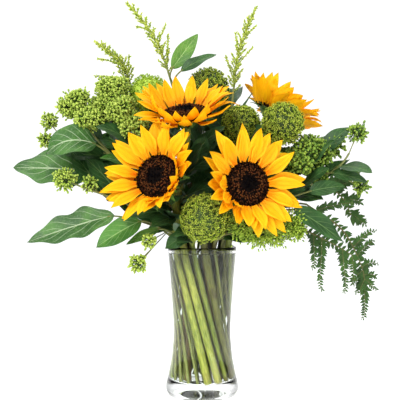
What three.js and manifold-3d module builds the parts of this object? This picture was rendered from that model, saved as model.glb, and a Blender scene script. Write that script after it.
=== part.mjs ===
// A bouquet of sunflowers, green ball dianthus, goldenrod, bud sprays, fern and leaves,
// standing in a waisted clear glass vase of water.
// Millimetres, +Z up. The origin is the centre of the vase's foot and the front of the bouquet faces -Y.
// The cut stems lean the same way in the vase, as a hand-tied spiral bouquet's do.

import * as THREE from "three";
import { mergeVertices } from "three/addons/utils/BufferGeometryUtils.js";
import Module from "manifold-3d";

const wasm = await Module();
wasm.setup();

// ---------------------------------------------------------------- driving dimensions

const GAP = 0.3; // clearance between pieces that touch

const VASE_HEIGHT = 203;
const VASE_FLOOR = 19; // the thick glass under the water
const VASE_WALL = 3.2;
const VASE_FOOT_RADIUS = 45.5;
const VASE_OUTLINE = [ // radius and height, up the outside
  [47.5, 1],
  [50.4, 10],
  [46, 30],
  [41.5, 56],
  [39.6, 92],
  [43.7, 156],
  [47.5, VASE_HEIGHT - 1],
];
const VASE_SEGMENTS = 32;
const WATER_LEVEL = 194;

const SPIRAL_WAIST = 104; // height where the leaning stems come nearest to the axis
const SPIRAL_LEAN = 0.245; // sideways run of a stem for each unit of height
const OUTER_STEMS = 30; // distance of the outer layer of stems from the axis at the waist
const INNER_STEMS = 17;
const STEM_STEPS = 8;

const DISC_RADIUS = 28;
const CALYX_DEPTH = 22;
const RAY_COUNT = 14;
const RAY_LENGTH = 44;
const RAY_THICKNESS = 1.2;

const BLADE_THICKNESS = 0.9;
const PETIOLE_RADIUS = 1.4;

// ---------------------------------------------------------------- finishes

const finish = (color, roughness, metalness = 0) => ({ color, roughness, metalness });

const FINISHES = {
  glass: finish(0xe4ecea, 0.05),
  water: finish(0xdfe9e2, 0.05),
  sunflowerStem: finish(0x9fae4e, 0.6),
  calyx: finish(0x5f7f36, 0.7),
  disc: finish(0x2e1a10, 0.9),
  ray: finish(0xfcb90c, 0.55),
  dianthusStem: finish(0x7f9646, 0.6),
  dianthusBloom: finish(0x8aa31f, 0.85),
  goldenrod: finish(0xa9bb4c, 0.8),
  budSpray: finish(0x93a83f, 0.8),
  leafySpray: finish(0x5f7d36, 0.75),
  trailingSpray: finish(0x6d8a2e, 0.8),
  fern: finish(0x3f5f2a, 0.7),
  broadLeaf: finish(0x56794a, 0.6),
  darkLeaf: finish(0x35552f, 0.45),
  paleLeaf: finish(0x7da04a, 0.55),
};

// ---------------------------------------------------------------- mesh and solid helpers

function mesh(name, geometry, look) {
  const made = new THREE.Mesh(geometry, new THREE.MeshStandardMaterial(look));
  made.name = name;
  return made;
}

function solid(geometry) {
  const bare = geometry.clone();
  bare.deleteAttribute("normal");
  bare.deleteAttribute("uv");
  const welded = mergeVertices(bare, 1e-4);
  const corners = Array.from(welded.index.array);
  const triVerts = [];
  for (let i = 0; i < corners.length; i += 3) {
    const [a, b, c] = corners.slice(i, i + 3);
    if (a !== b && b !== c && c !== a) triVerts.push(a, b, c);
  }
  return new wasm.Manifold(new wasm.Mesh({
    numProp: 3,
    vertProperties: Float32Array.from(welded.attributes.position.array),
    triVerts: Uint32Array.from(triVerts),
  }));
}

function geometryOf(body) {
  const { numProp, vertProperties, triVerts } = body.getMesh();
  const positions = new Float32Array(vertProperties.length / numProp * 3);
  for (let i = 0; i < positions.length / 3; i++) {
    positions.set(vertProperties.subarray(i * numProp, i * numProp + 3), i * 3);
  }
  const geometry = new THREE.BufferGeometry();
  geometry.setAttribute("position", new THREE.BufferAttribute(positions, 3));
  geometry.setIndex(new THREE.BufferAttribute(Uint32Array.from(triVerts), 1));
  geometry.computeVertexNormals();
  return geometry;
}

function joined(geometries) {
  const bodies = geometries.map(solid);
  return geometryOf(bodies.reduce((total, body) => total.add(body)));
}

function cut(geometry, cutters) {
  return geometryOf(cutters.reduce((rest, cutter) => rest.subtract(solid(cutter)), solid(geometry)));
}

// ---------------------------------------------------------------- shape helpers

const vector = ([x, y, z]) => new THREE.Vector3(x, y, z);
const degrees = THREE.MathUtils.degToRad;
const Z_AXIS = new THREE.Vector3(0, 0, 1);

function tube(path, radius, steps, sides = 8) {
  const section = new THREE.Shape().absarc(0, 0, radius, 0, 2 * Math.PI);
  return new THREE.ExtrudeGeometry(section, {
    steps,
    curveSegments: sides / 2,
    bevelEnabled: false,
    extrudePath: path,
  });
}

// A profile of [radius, height] pairs turned about the Z axis.
function turned(profile, segments) {
  const points = profile.map(([radius, height]) => new THREE.Vector2(radius, height));
  return new THREE.LatheGeometry(points, segments).rotateX(Math.PI / 2);
}

// A plume's side sprig: a slim bulb between two points.
function spindle(from, to, radius) {
  const run = to.clone().sub(from);
  const length = run.length();
  const profile = [[0, 0], [0.6 * radius, 0.12 * length], [radius, 0.4 * length], [0, length]];
  const turn = new THREE.Quaternion().setFromUnitVectors(Z_AXIS, run.normalize());
  return turned(profile, 6).applyQuaternion(turn).translate(from.x, from.y, from.z);
}

function dome([x, y, z], radius) {
  return new THREE.IcosahedronGeometry(radius, 1).translate(x, y, z);
}

// The midrib of a blade, arched toward the side that it faces.
function midrib({ base, tip, faces, arch = 0 }) {
  const crest = vector(base).add(vector(tip)).multiplyScalar(0.5)
    .addScaledVector(vector(faces).normalize(), 2 * arch);
  return new THREE.QuadraticBezierCurve3(vector(base), crest, vector(tip));
}

// A thin pointed blade laid along its midrib.
function blade({ base, tip, faces, width, arch, lobes = 0, stations = 10 }) {
  const spine = midrib({ base, tip, faces, arch });
  const up = vector(faces).normalize();
  const length = vector(base).distanceTo(vector(tip));

  const halfWidth = (t) => {
    const plain = Math.sin(Math.PI * t ** 0.8) ** 0.8;
    return 0.5 * width * plain * (1 + lobes * Math.cos(6 * Math.PI * t));
  };
  const outline = new THREE.Shape().moveTo(0, 0);
  for (let i = 1; i < stations; i++) {
    outline.lineTo(length * i / stations, halfWidth(i / stations));
  }
  outline.lineTo(length, 0);
  for (let i = stations - 1; i > 0; i--) {
    outline.lineTo(length * i / stations, -halfWidth(i / stations));
  }

  const geometry = new THREE.ExtrudeGeometry(outline, { depth: BLADE_THICKNESS, bevelEnabled: false });
  const positions = geometry.attributes.position;
  for (let i = 0; i < positions.count; i++) {
    const t = positions.getX(i) / length;
    const along = spine.getTangent(t);
    const across = up.clone().cross(along).normalize();
    const over = along.clone().cross(across);
    const point = spine.getPoint(t)
      .addScaledVector(across, positions.getY(i))
      .addScaledVector(over, positions.getZ(i) - BLADE_THICKNESS / 2);
    positions.setXYZ(i, point.x, point.y, point.z);
  }
  return geometry;
}

// ---------------------------------------------------------------- stems

// A cut stem's centreline: straight through the water, then one bend from the rim to its target.
class StemPath extends THREE.Curve {
  constructor({ angle, layer, radius, to, heading, rise = 0.35, settle = 0.3 }) {
    super();
    const outward = new THREE.Vector3(Math.cos(degrees(angle)), Math.sin(degrees(angle)), 0);
    const lean = new THREE.Vector3(outward.y, -outward.x, 0).multiplyScalar(SPIRAL_LEAN);
    const at = (height) => outward.clone().multiplyScalar(layer)
      .addScaledVector(lean, height - SPIRAL_WAIST)
      .setZ(height);
    this.foot = at(VASE_FLOOR + 0.3 * radius + 0.5);
    this.mouth = at(VASE_HEIGHT);
    const upward = this.mouth.clone().sub(this.foot).normalize();
    const target = vector(to);
    const reach = this.mouth.distanceTo(target);
    this.bend = new THREE.CubicBezierCurve3(
      this.mouth,
      this.mouth.clone().addScaledVector(upward, rise * reach),
      target.clone().addScaledVector(vector(heading).normalize(), -settle * reach),
      target,
    );
  }

  getPoint(t, target = new THREE.Vector3()) {
    const step = t * STEM_STEPS;
    if (step <= 1) return target.lerpVectors(this.foot, this.mouth, step);
    return target.copy(this.bend.getPoint((step - 1) / (STEM_STEPS - 1)));
  }

  getPointAt(t, target) {
    return this.getPoint(t, target);
  }

  getTangentAt(t, target) {
    return this.getTangent(t, target);
  }

  // The centreline's point and direction at a height above the rim, on the way up.
  atHeight(height) {
    let low = 0;
    let high = 1;
    for (let i = 0; i < 30; i++) {
      const middle = (low + high) / 2;
      if (this.getPoint(middle).z < height) low = middle;
      else high = middle;
    }
    return { centre: this.getPoint(low), along: this.getTangent(low) };
  }
}

const stems = {}; // each stem's path and radius, by name

function stem(name, { radius, layer = OUTER_STEMS, ...route }) {
  const path = new StemPath({ radius, layer, ...route });
  stems[name] = { path, radius };
  return tube(path, radius, STEM_STEPS);
}

// ---------------------------------------------------------------- sunflowers

// One row of ray florets: a star with a round hole, cupped upward from the hole outward.
function rayRow({ height, cup, turn }) {
  const hole = DISC_RADIUS + 1.5;
  const pitch = 2 * Math.PI / RAY_COUNT;
  const outline = new THREE.Shape();
  const corner = (angle, radius) => outline.currentPoint.lengthSq() === 0
    ? outline.moveTo(radius * Math.cos(angle), radius * Math.sin(angle))
    : outline.lineTo(radius * Math.cos(angle), radius * Math.sin(angle));
  for (let i = 0; i < RAY_COUNT; i++) {
    const middle = turn + i * pitch;
    corner(middle - 0.5 * pitch, hole + 0.08 * RAY_LENGTH);
    corner(middle - 0.4 * pitch, hole + 0.45 * RAY_LENGTH);
    corner(middle, hole + RAY_LENGTH);
    corner(middle + 0.4 * pitch, hole + 0.45 * RAY_LENGTH);
  }
  outline.holes.push(new THREE.Path().absarc(0, 0, hole, 0, 2 * Math.PI));

  const geometry = new THREE.ExtrudeGeometry(outline, {
    depth: RAY_THICKNESS,
    bevelEnabled: false,
    curveSegments: RAY_COUNT / 2,
  });
  const positions = geometry.attributes.position;
  for (let i = 0; i < positions.count; i++) {
    const x = positions.getX(i);
    const y = positions.getY(i);
    const radius = Math.hypot(x, y);
    const outward = Math.max(0, radius - hole);
    const shrink = Math.min(1, (hole + outward * Math.cos(degrees(cup))) / radius);
    const lift = height + outward * Math.sin(degrees(cup));
    positions.setXYZ(i, x * shrink, y * shrink, positions.getZ(i) + lift);
  }
  return geometry;
}

function discButton() {
  const r = DISC_RADIUS;
  return turned([[0, -4], [0.9 * r, -4], [r, 0], [0.94 * r, 4], [0.6 * r, 7.5], [0, 6.5]], 20);
}

// The green cup under the disc, with its rim drawn out into pointed bracts.
function calyxCup(cup) {
  const bractTip = 46;
  const bractNotch = 34;
  const slope = Math.tan(degrees(cup));
  const points = [
    [0, -CALYX_DEPTH],
    [6, -CALYX_DEPTH],
    [13, -17],
    [24, -9.5],
    [29, -7],
    [bractTip, -5.5 + (bractTip - 29) * slope],
    [29, -4.4],
    [0, -4.4],
  ];
  const geometry = turned(points, 24);
  const positions = geometry.attributes.position;
  const rimIndex = 5;
  for (let segment = 1; segment < 24; segment += 2) {
    const i = segment * points.length + rimIndex;
    const pull = bractNotch / bractTip;
    const drop = (bractTip - bractNotch) * slope;
    positions.setXYZ(i, positions.getX(i) * pull, positions.getY(i) * pull, positions.getZ(i) - drop);
  }
  return geometry;
}

const SUNFLOWERS = [
  { side: "top", centre: [-22, -50, 382], faces: [-0.07, -0.42, 0.91], cup: 42, angle: -112 },
  { side: "left", centre: [-57, -88, 297], faces: [-0.39, -0.87, 0.31], cup: 30, angle: -90 },
  { side: "right", centre: [57, -90, 287], faces: [0.33, -0.93, 0.15], cup: 22, angle: -47 },
  { side: "rear", centre: [108, 35, 393], faces: [0.52, -0.06, 0.85], cup: 42, angle: 78 },
];

function sunflower({ side, centre, faces, cup, angle }) {
  const name = `sunflower_${side}`;
  const axis = vector(faces).normalize();
  const underCalyx = vector(centre).addScaledVector(axis, -CALYX_DEPTH - GAP);
  const stemGeometry = stem(name, {
    radius: 5,
    angle,
    to: underCalyx.toArray(),
    heading: faces,
  });
  const head = new THREE.Group();
  head.position.copy(vector(centre));
  head.quaternion.setFromUnitVectors(Z_AXIS, axis);
  const innerRow = rayRow({ height: 0, cup: cup + 6, turn: 0 });
  const outerRow = rayRow({ height: -3.5, cup: cup - 4, turn: Math.PI / RAY_COUNT });
  head.add(
    mesh(`${name}_calyx`, calyxCup(cup - 14), FINISHES.calyx),
    mesh(`${name}_disc`, discButton(), FINISHES.disc),
    mesh(`${name}_inner_rays`, innerRow, FINISHES.ray),
    mesh(`${name}_outer_rays`, outerRow, FINISHES.ray),
  );
  const whole = new THREE.Group();
  whole.add(mesh(`${name}_stem`, stemGeometry, FINISHES.sunflowerStem), head);
  return whole;
}

// ---------------------------------------------------------------- green ball dianthus

const DIANTHUS = [
  { side: "front", centre: [3, -86, 244], radius: 31, heading: [0.2, -0.8, 0.6], angle: -69 },
  { side: "middle", centre: [54, -5, 371], radius: 27.5, heading: [0, -0.15, 1], angle: 58 },
  { side: "right", centre: [107, -40, 368], radius: 29, heading: [0.2, -0.1, 1], angle: 12 },
  { side: "back", centre: [9, 40, 427], radius: 31, heading: [0, 0, 1], angle: 117 },
  { side: "left", centre: [-75, 15, 412], radius: 32, heading: [-0.3, 0, 1], angle: 154 },
];

function dianthus({ side, centre, radius, heading, angle }) {
  const name = `dianthus_${side}`;
  const foot = vector(centre).addScaledVector(vector(heading).normalize(), -radius - GAP);
  const whole = new THREE.Group();
  const bloom = mesh(`${name}_bloom`, new THREE.IcosahedronGeometry(radius, 2), FINISHES.dianthusBloom);
  bloom.position.copy(vector(centre));
  const stemGeometry = stem(name, { radius: 3.2, angle, to: foot.toArray(), heading });
  whole.add(mesh(`${name}_stem`, stemGeometry, FINISHES.dianthusStem), bloom);
  return whole;
}

// ---------------------------------------------------------------- goldenrod

// Each plume is a main spike from the stem's end, with side sprigs from points along it.
const GOLDENROD = [
  {
    side: "centre", angle: 136, to: [-48, 25, 449], heading: [-0.3, 0, 1],
    spike: [[-48, 25, 449], [-62, 23, 488], [-84, 21, 520], [-106, 20, 545]],
    sprigs: [[0.05, [-48, 20, 500]], [0.2, [-72, 12, 492]], [0.35, [-52, 26, 516]], [0.5, [-92, 22, 512]]],
  },
  {
    side: "right", angle: 98, to: [45, 30, 423], heading: [0.1, 0, 1],
    spike: [[45, 30, 423], [50, 30, 465], [61, 30, 505], [77, 30, 542]],
    sprigs: [[0.1, [34, 24, 470]], [0.25, [72, 30, 484]], [0.45, [48, 34, 506]], [0.55, [76, 26, 514]]],
  },
  {
    side: "left", angle: 172, to: [-104, 34, 437], heading: [-0.1, -0.45, 1],
    spike: [[-104, 34, 437], [-112, 24, 456], [-128, 14, 472], [-148, 5, 487]],
    sprigs: [[0.0, [-151, 24, 443]], [0.1, [-103, 18, 470]], [0.3, [-123, 20, 475]], [0.4, [-145, 8, 464]]],
  },
];

function goldenrod({ side, spike, sprigs, ...route }) {
  const name = `goldenrod_${side}`;
  const main = new THREE.CatmullRomCurve3(spike.map(vector));
  const pieces = [stem(name, { radius: 2.2, ...route }), tube(main, 1.8, 4, 6)];
  pieces.push(spindle(main.getPoint(0.35), main.getPoint(1), 4.5));
  for (const [t, tip] of sprigs) pieces.push(spindle(main.getPoint(t), vector(tip), 3.5));
  return mesh(name, joined(pieces), FINISHES.goldenrod);
}

// ---------------------------------------------------------------- sprays of buds and small leaves

// Each spray is a stem with branches from points along it, and each branch ends in a round cluster.
const SPRAYS = [
  {
    name: "bud_spray_upper_left", look: "budSpray", radius: 2.4, angle: 208,
    to: [-160, -8, 372], heading: [-0.6, 0, 1],
    clusters: [[1, [-176, -5, 397], 16.5], [0.95, [-153, -15, 379], 17.5]],
  },
  {
    name: "bud_spray_back_left", look: "budSpray", radius: 2.4, angle: 190,
    to: [-122, 5, 388], heading: [-0.2, 0, 1],
    clusters: [[1, [-131, 0, 402], 16.5], [0.97, [-123, -4, 421], 15]],
  },
  {
    name: "bud_spray_centre_left", look: "budSpray", radius: 2.4, angle: 170, layer: INNER_STEMS,
    to: [-96, -18, 366], heading: [-0.3, -0.1, 1],
    clusters: [[1, [-111, -22, 389], 15], [0.95, [-93, -30, 367], 14]],
  },
  {
    name: "bud_spray_far_left", look: "budSpray", radius: 2, angle: -150, layer: INNER_STEMS,
    to: [-195, -2, 354], heading: [-1, 0, 0.6],
    clusters: [[1, [-212, 0, 376], 9], [0.97, [-217, 0, 350], 7]],
  },
  {
    name: "bud_spray_low_left", look: "budSpray", radius: 1.8, angle: -133,
    to: [-172, -45, 290], heading: [-1, -0.1, 0.5],
    clusters: [
      [1, [-181, -46, 294], 12],
      [0.8, [-150, -36, 288], 8],
      [0.25, [-68, -74, 214], 6],
      [0.25, [-82, -76, 186], 9],
    ],
  },
  {
    name: "leafy_spray_right", look: "leafySpray", radius: 2.4, angle: 35,
    to: [148, -18, 322], heading: [0.5, -0.2, 1], rise: 0.6,
    clusters: [[0.97, [132, -32, 321], 17], [1, [157, -20, 335], 17], [1, [182, -10, 343], 12]],
  },
  {
    name: "leafy_spray_far_right", look: "leafySpray", radius: 2, angle: 40, layer: INNER_STEMS,
    to: [198, -28, 330], heading: [0.5, 0, 1],
    clusters: [[1, [209, -28, 357], 10.5], [0.85, [215, -20, 285], 7.5]],
  },
  {
    name: "trailing_spray_right", look: "trailingSpray", radius: 2, angle: -27,
    to: [80, -70, 226], heading: [0.8, -0.3, 0.1],
    clusters: [
      [0.85, [58, -70, 230], 13],
      [1, [80, -74, 224], 17],
      [1, [106, -66, 234], 15],
      [1, [129, -56, 240], 11],
    ],
  },
];

function spray({ name, look, radius, clusters, ...route }) {
  const pieces = [stem(name, { radius, ...route })];
  const { path } = stems[name];
  for (const [t, centre, size] of clusters) {
    const fork = path.getPoint(t);
    const branch = new THREE.LineCurve3(fork, vector(centre));
    pieces.push(tube(branch, 0.7 * radius, 1, 6), dome(centre, size));
  }
  return mesh(name, joined(pieces), FINISHES[look]);
}

// ---------------------------------------------------------------- fern

// Each frond hangs from its stem along a rachis, with a leaflet from points along it to each tip.
const FERNS = [
  {
    side: "front", angle: 0, layer: INNER_STEMS, to: [140, -32, 261], heading: [1, 0, -0.2],
    rachis: [[140, -32, 261], [188, -30, 227], [213, -30, 181], [219, -30, 154]],
    tips: [
      [0.5, [233, -30, 225]], [0.6, [227, -34, 212]], [0.72, [236, -30, 181]], [0.85, [232, -30, 162]],
      [0.95, [235, -30, 146]], [1, [215, -30, 107]], [0.75, [203, -34, 153]], [0.85, [207, -28, 142]],
      [0.95, [214, -34, 140]],
    ],
  },
  {
    side: "low", angle: -8, to: [126, -46, 232], heading: [1, -0.2, -0.3],
    rachis: [[126, -46, 232], [151, -46, 220], [180, -46, 205], [198, -46, 194]],
    tips: [[0.3, [145, -46, 176]], [0.45, [159, -46, 147]], [0.75, [187, -46, 144]], [1, [204, -46, 160]]],
  },
  {
    side: "back", angle: 55, layer: INNER_STEMS, to: [160, 1, 282], heading: [1, 0, 0.1], rise: 0.28,
    rachis: [[160, 1, 282], [178, 1, 284], [197, 1, 267], [207, 1, 246]],
    tips: [[0.2, [218, 1, 304]], [0.45, [214, 3, 291]], [0.7, [219, 1, 262]], [1, [227, 1, 233]]],
  },
];

function fern({ side, rachis, tips, ...route }) {
  const name = `fern_${side}`;
  const spine = new THREE.CatmullRomCurve3(rachis.map(vector));
  const pieces = [stem(name, { radius: 1.6, ...route }), tube(spine, 1.4, 6, 6)];
  for (const [t, tip] of tips) {
    const base = spine.getPoint(t);
    const width = 0.3 * base.distanceTo(vector(tip));
    pieces.push(blade({ base: base.toArray(), tip, faces: [0.1, -1, 0.1], width, stations: 5 }));
  }
  return mesh(name, joined(pieces), FINISHES.fern);
}

// ---------------------------------------------------------------- leaves

// Each leaf's petiole starts beside its host stem, at a height on it.
const LEAVES = [
  {
    name: "arched_left", look: "broadLeaf", host: "bud_spray_upper_left", height: 300,
    base: [-142, -28, 342], tip: [-210, -30, 328], faces: [-0.1, -0.5, 0.85], width: 40, arch: 17,
  },
  {
    name: "upper_left", look: "broadLeaf", host: "bud_spray_low_left", height: 250,
    base: [-138, 0, 306], tip: [-259, -8, 311], faces: [0, -0.9, 0.43], width: 52, arch: 4, lobes: 0.08,
  },
  {
    name: "lower_left", look: "broadLeaf", host: "sunflower_top", height: 222,
    base: [-117, -38, 247], tip: [-231, -44, 211], faces: [-0.1, -0.8, 0.6], width: 44, arch: 3, lobes: 0.08,
  },
  {
    name: "front_left", look: "broadLeaf", host: "sunflower_top", height: 214,
    base: [-80, -50, 240], tip: [-138, -56, 205], faces: [-0.25, -0.8, 0.55], width: 38, arch: 3,
  },
  {
    name: "small_front_left", look: "paleLeaf", host: "sunflower_left", height: 212,
    base: [-56, -48, 229], tip: [-99, -56, 209], faces: [-0.2, -0.85, 0.5], width: 15, arch: 2,
  },
  {
    name: "under_front_bloom", look: "darkLeaf", host: "dianthus_front", height: 211,
    base: [-20, -58, 222], tip: [-48, -60, 204], faces: [-0.2, -0.9, 0.4], width: 22, arch: 2,
  },
  {
    name: "upper_right", look: "darkLeaf", host: "fern_front", height: 252,
    base: [140, -52, 278], tip: [188, -48, 285], faces: [0, -0.85, 0.5], width: 23, arch: 3,
  },
  {
    name: "lower_right", look: "broadLeaf", host: "fern_low", height: 224,
    base: [118, -70, 256], tip: [182, -66, 213], faces: [0.2, -0.8, 0.6], width: 32, arch: 3,
  },
  {
    name: "top_pale", look: "paleLeaf", host: "goldenrod_centre", height: 436,
    base: [-42, 16, 452], tip: [-6, 18, 501], faces: [0.1, -0.95, 0.1], width: 24, arch: 3,
  },
  {
    name: "top_dark", look: "darkLeaf", host: "goldenrod_centre", height: 430,
    base: [-30, 8, 447], tip: [20, 6, 470], faces: [-0.1, -0.8, 0.6], width: 20, arch: 3,
  },
  {
    name: "inner", look: "darkLeaf", host: "sunflower_top", height: 300,
    base: [-6, -34, 320], tip: [4, -44, 352], faces: [0, -0.95, 0.2], width: 24, arch: 3,
  },
  {
    name: "back", look: "broadLeaf", host: "dianthus_back", height: 260,
    base: [10, 74, 300], tip: [6, 118, 360], faces: [0, 0.8, -0.5], width: 44, arch: 6,
  },
];

function leaf({ name, look, host, height, base, tip, faces, width, arch, lobes }) {
  const { path, radius } = stems[host];
  const { centre, along } = path.atHeight(height);
  const out = vector(base).sub(centre).projectOnPlane(along).normalize();
  const rib = midrib({ base, tip, faces, arch });
  const petiole = new THREE.QuadraticBezierCurve3(
    centre.clone().addScaledVector(out, radius + PETIOLE_RADIUS + GAP),
    vector(base).addScaledVector(rib.getTangent(0), -12),
    rib.getPoint(0.08),
  );
  const pieces = [
    blade({ base, tip, faces, width, arch, lobes }),
    tube(petiole, PETIOLE_RADIUS, 4, 6),
  ];
  return mesh(`leaf_${name}`, joined(pieces), FINISHES[look]);
}

// ---------------------------------------------------------------- vase and water

const outside = new THREE.SplineCurve(VASE_OUTLINE.map(([r, z]) => new THREE.Vector2(r, z)))
  .getPoints(14)
  .map(({ x, y }) => [x, y]);

// The inside of the wall from a height down to the rounded corner of the floor, drawn in by a margin.
function insideDown(top, margin) {
  const corner = 26;
  const wall = outside
    .filter(([, z]) => z > corner && z < top - 1)
    .map(([r, z]) => [r - VASE_WALL - margin, z])
    .reverse();
  return [...wall, [42 - margin, VASE_FLOOR + 2 + margin], [38 - margin, VASE_FLOOR + margin]];
}

function vase() {
  const rim = VASE_OUTLINE.at(-1)[0];
  return turned([
    [0, 0],
    [VASE_FOOT_RADIUS, 0],
    ...outside,
    [rim - 0.8, VASE_HEIGHT],
    [rim - VASE_WALL + 0.8, VASE_HEIGHT],
    [rim - VASE_WALL, VASE_HEIGHT - 1],
    ...insideDown(VASE_HEIGHT - 1, 0),
    [0, VASE_FLOOR],
  ], VASE_SEGMENTS);
}

function water() {
  const wall = insideDown(WATER_LEVEL, GAP);
  const body = turned([
    [0, WATER_LEVEL],
    [wall[0][0] + 0.4, WATER_LEVEL],
    ...wall,
    [0, VASE_FLOOR + GAP],
  ].reverse(), VASE_SEGMENTS);
  const holes = Object.values(stems).map(({ path, radius }) => {
    const along = path.mouth.clone().sub(path.foot).normalize();
    const below = path.foot.clone().addScaledVector(along, -GAP);
    return tube(new THREE.LineCurve3(below, path.mouth), radius + 1.1 * GAP, 1);
  });
  return cut(body, holes);
}

// ---------------------------------------------------------------- the whole bouquet

const bouquet = new THREE.Group();
bouquet.add(
  ...SUNFLOWERS.map(sunflower),
  ...DIANTHUS.map(dianthus),
  ...GOLDENROD.map(goldenrod),
  ...SPRAYS.map(spray),
  ...FERNS.map(fern),
  ...LEAVES.map(leaf),
  mesh("vase", vase(), FINISHES.glass),
  mesh("water", water(), FINISHES.water),
);

export default bouquet;
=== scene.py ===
"""Sunflowers, green ball dianthus, goldenrod, fern and garden foliage in a waisted glass vase.

Sizes and places are in millimetres in the part's frame until a mesh is written, in metres. The vase stands
on Z = 0 around the Z axis, and the front of the bouquet looks along -Y. Stems, sprigs and leaves follow the
same rules and the same design values as the part's own solids; the vase, the water and the round blooms
take their sizes from the frame's boxes.

Three point values drive the finishes. "lay" is a vector: on a leaf or petal it holds the place across
(-1 to 1), the place along (0 to 1) and the side (1 upper, 0 under); on a stalk it holds the direction
around and the distance along. "tint" is a leaf's or petal's own random number, or a small copy's place in
its spiral or row. "chance" is a small copy's random number.
"""

import logging
import math
import random
from dataclasses import dataclass, field
from enum import Enum

import bpy
import numpy as np
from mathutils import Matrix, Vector


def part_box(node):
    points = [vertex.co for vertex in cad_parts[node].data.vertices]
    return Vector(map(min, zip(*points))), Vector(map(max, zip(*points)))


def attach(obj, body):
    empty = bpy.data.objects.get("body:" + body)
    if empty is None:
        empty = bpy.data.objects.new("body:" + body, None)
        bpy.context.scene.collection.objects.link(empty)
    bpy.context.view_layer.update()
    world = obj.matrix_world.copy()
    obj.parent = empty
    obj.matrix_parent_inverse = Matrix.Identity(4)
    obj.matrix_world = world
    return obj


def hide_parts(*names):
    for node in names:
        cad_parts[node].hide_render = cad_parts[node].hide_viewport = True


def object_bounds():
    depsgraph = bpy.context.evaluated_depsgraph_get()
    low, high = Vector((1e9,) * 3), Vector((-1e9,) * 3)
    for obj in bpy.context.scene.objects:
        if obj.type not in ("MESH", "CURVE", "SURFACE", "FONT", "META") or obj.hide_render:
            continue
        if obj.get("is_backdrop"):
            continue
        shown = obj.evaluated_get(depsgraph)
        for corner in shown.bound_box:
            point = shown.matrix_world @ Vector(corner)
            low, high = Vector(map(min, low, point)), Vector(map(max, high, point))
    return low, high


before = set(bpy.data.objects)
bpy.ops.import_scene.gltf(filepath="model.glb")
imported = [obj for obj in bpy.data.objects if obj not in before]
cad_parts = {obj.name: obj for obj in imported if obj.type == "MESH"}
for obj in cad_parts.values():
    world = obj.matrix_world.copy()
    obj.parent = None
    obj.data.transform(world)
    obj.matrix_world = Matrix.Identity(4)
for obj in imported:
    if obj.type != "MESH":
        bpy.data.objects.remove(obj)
CAD_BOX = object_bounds()

LOG = logging.getLogger("bouquet")
MM = 0.001
ROOT = "root"
SPIRAL = 2.4  # the turn from one twig to the next, in radians
SPINE_STEPS = 24  # the pieces of a plume's or a frond's spine
DIANTHUS_GAP = 0.3  # between a bloom and its stem, in millimetres
FERN_RADIUS = 1.6  # of a frond's stem, in millimetres
Point = tuple[float, float, float]
Span = tuple[float, float]
Item = bpy.types.Object
Array = np.ndarray


# ---- small sums


def vec(values: Point) -> Array:
    """Returns a point as an array of floats."""
    return np.array(values, float)


def unit(values: Array) -> Array:
    """Returns a vector at length one."""
    return values / max(float(np.linalg.norm(values)), 1e-9)


def smooth(value: float) -> float:
    """Returns an eased 0 to 1 for a value, held at both ends."""
    held = min(max(value, 0.0), 1.0)
    return held * held * (3 - 2 * held)


def bezier(points: list[Array], t: float) -> Array:
    """Finds a point on a Bezier curve of any degree.

    Args:
        points: The control points.
        t: The place along, 0 to 1.

    Returns:
        The point.
    """
    while len(points) > 1:
        points = [(1 - t) * a + t * b for a, b in zip(points, points[1:])]
    return points[0]


def curved(points: list[Array], steps: int) -> Array:
    """Returns a Bezier curve's points at even steps."""
    return np.array([bezier(points, i / steps) for i in range(steps + 1)])


def ray_at(first: Array, second: Array, turn: float) -> Array:
    """Returns the direction at a turn from one direction towards another."""
    return first * math.cos(turn) + second * math.sin(turn)


def level_ray(turn: float) -> Array:
    """Returns the level direction at a turn about the Z axis."""
    return vec((math.cos(turn), math.sin(turn), 0))


def rounded(points: list[Point], steps: int) -> Array:
    """Runs a smooth curve through a few points.

    Args:
        points: The points that it passes.
        steps: How many pieces the whole curve has.

    Returns:
        The curve's points, one row each.
    """
    rows = [vec(p) for p in points]
    rows = [2 * rows[0] - rows[1], *rows, 2 * rows[-1] - rows[-2]]
    found = []
    for i in range(steps + 1):
        place = i / steps * (len(points) - 1)
        k = min(int(place), len(points) - 2)
        t = place - k
        a, b, c, d = rows[k : k + 4]
        found.append(
            0.5 * (2 * b + (c - a) * t + (2 * a - 5 * b + 4 * c - d) * t**2 + (3 * b - a - 3 * c + d) * t**3)
        )
    return np.array(found)


def basis(axis: Array) -> tuple[Array, Array, Array]:
    """Makes a right-handed set of directions round an axis.

    Args:
        axis: The third direction.

    Returns:
        The first, second and third directions.
    """
    third = unit(axis)
    guide = vec((0, 0, 1)) if abs(third[2]) < 0.9 else vec((0, 1, 0))
    first = unit(np.cross(guide, third))
    return first, np.cross(third, first), third


def added(name: str, data: bpy.types.ID) -> Item:
    """Makes an object and puts it in the scene.

    Args:
        name: Its name.
        data: Its mesh, lamp or camera.

    Returns:
        The object.
    """
    made = bpy.data.objects.new(name, data)
    bpy.context.scene.collection.objects.link(made)
    return made


def turn_of(axis: Array) -> Point:
    """Returns the Euler angles that turn the Z axis to a direction."""
    return tuple(Vector(axis).to_track_quat("Z", "Y").to_euler())


def colour_of(code: str) -> tuple[float, float, float, float]:
    """Turns a six-digit colour code into linear light.

    Args:
        code: Two hexadecimal digits each of red, green and blue.

    Returns:
        Red, green, blue and an alpha of one.
    """
    parts = [int(code[i : i + 2], 16) / 255 for i in (0, 2, 4)]
    return (*[p / 12.92 if p <= 0.04045 else ((p + 0.055) / 1.055) ** 2.4 for p in parts], 1.0)


# ---- node wiring


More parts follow.
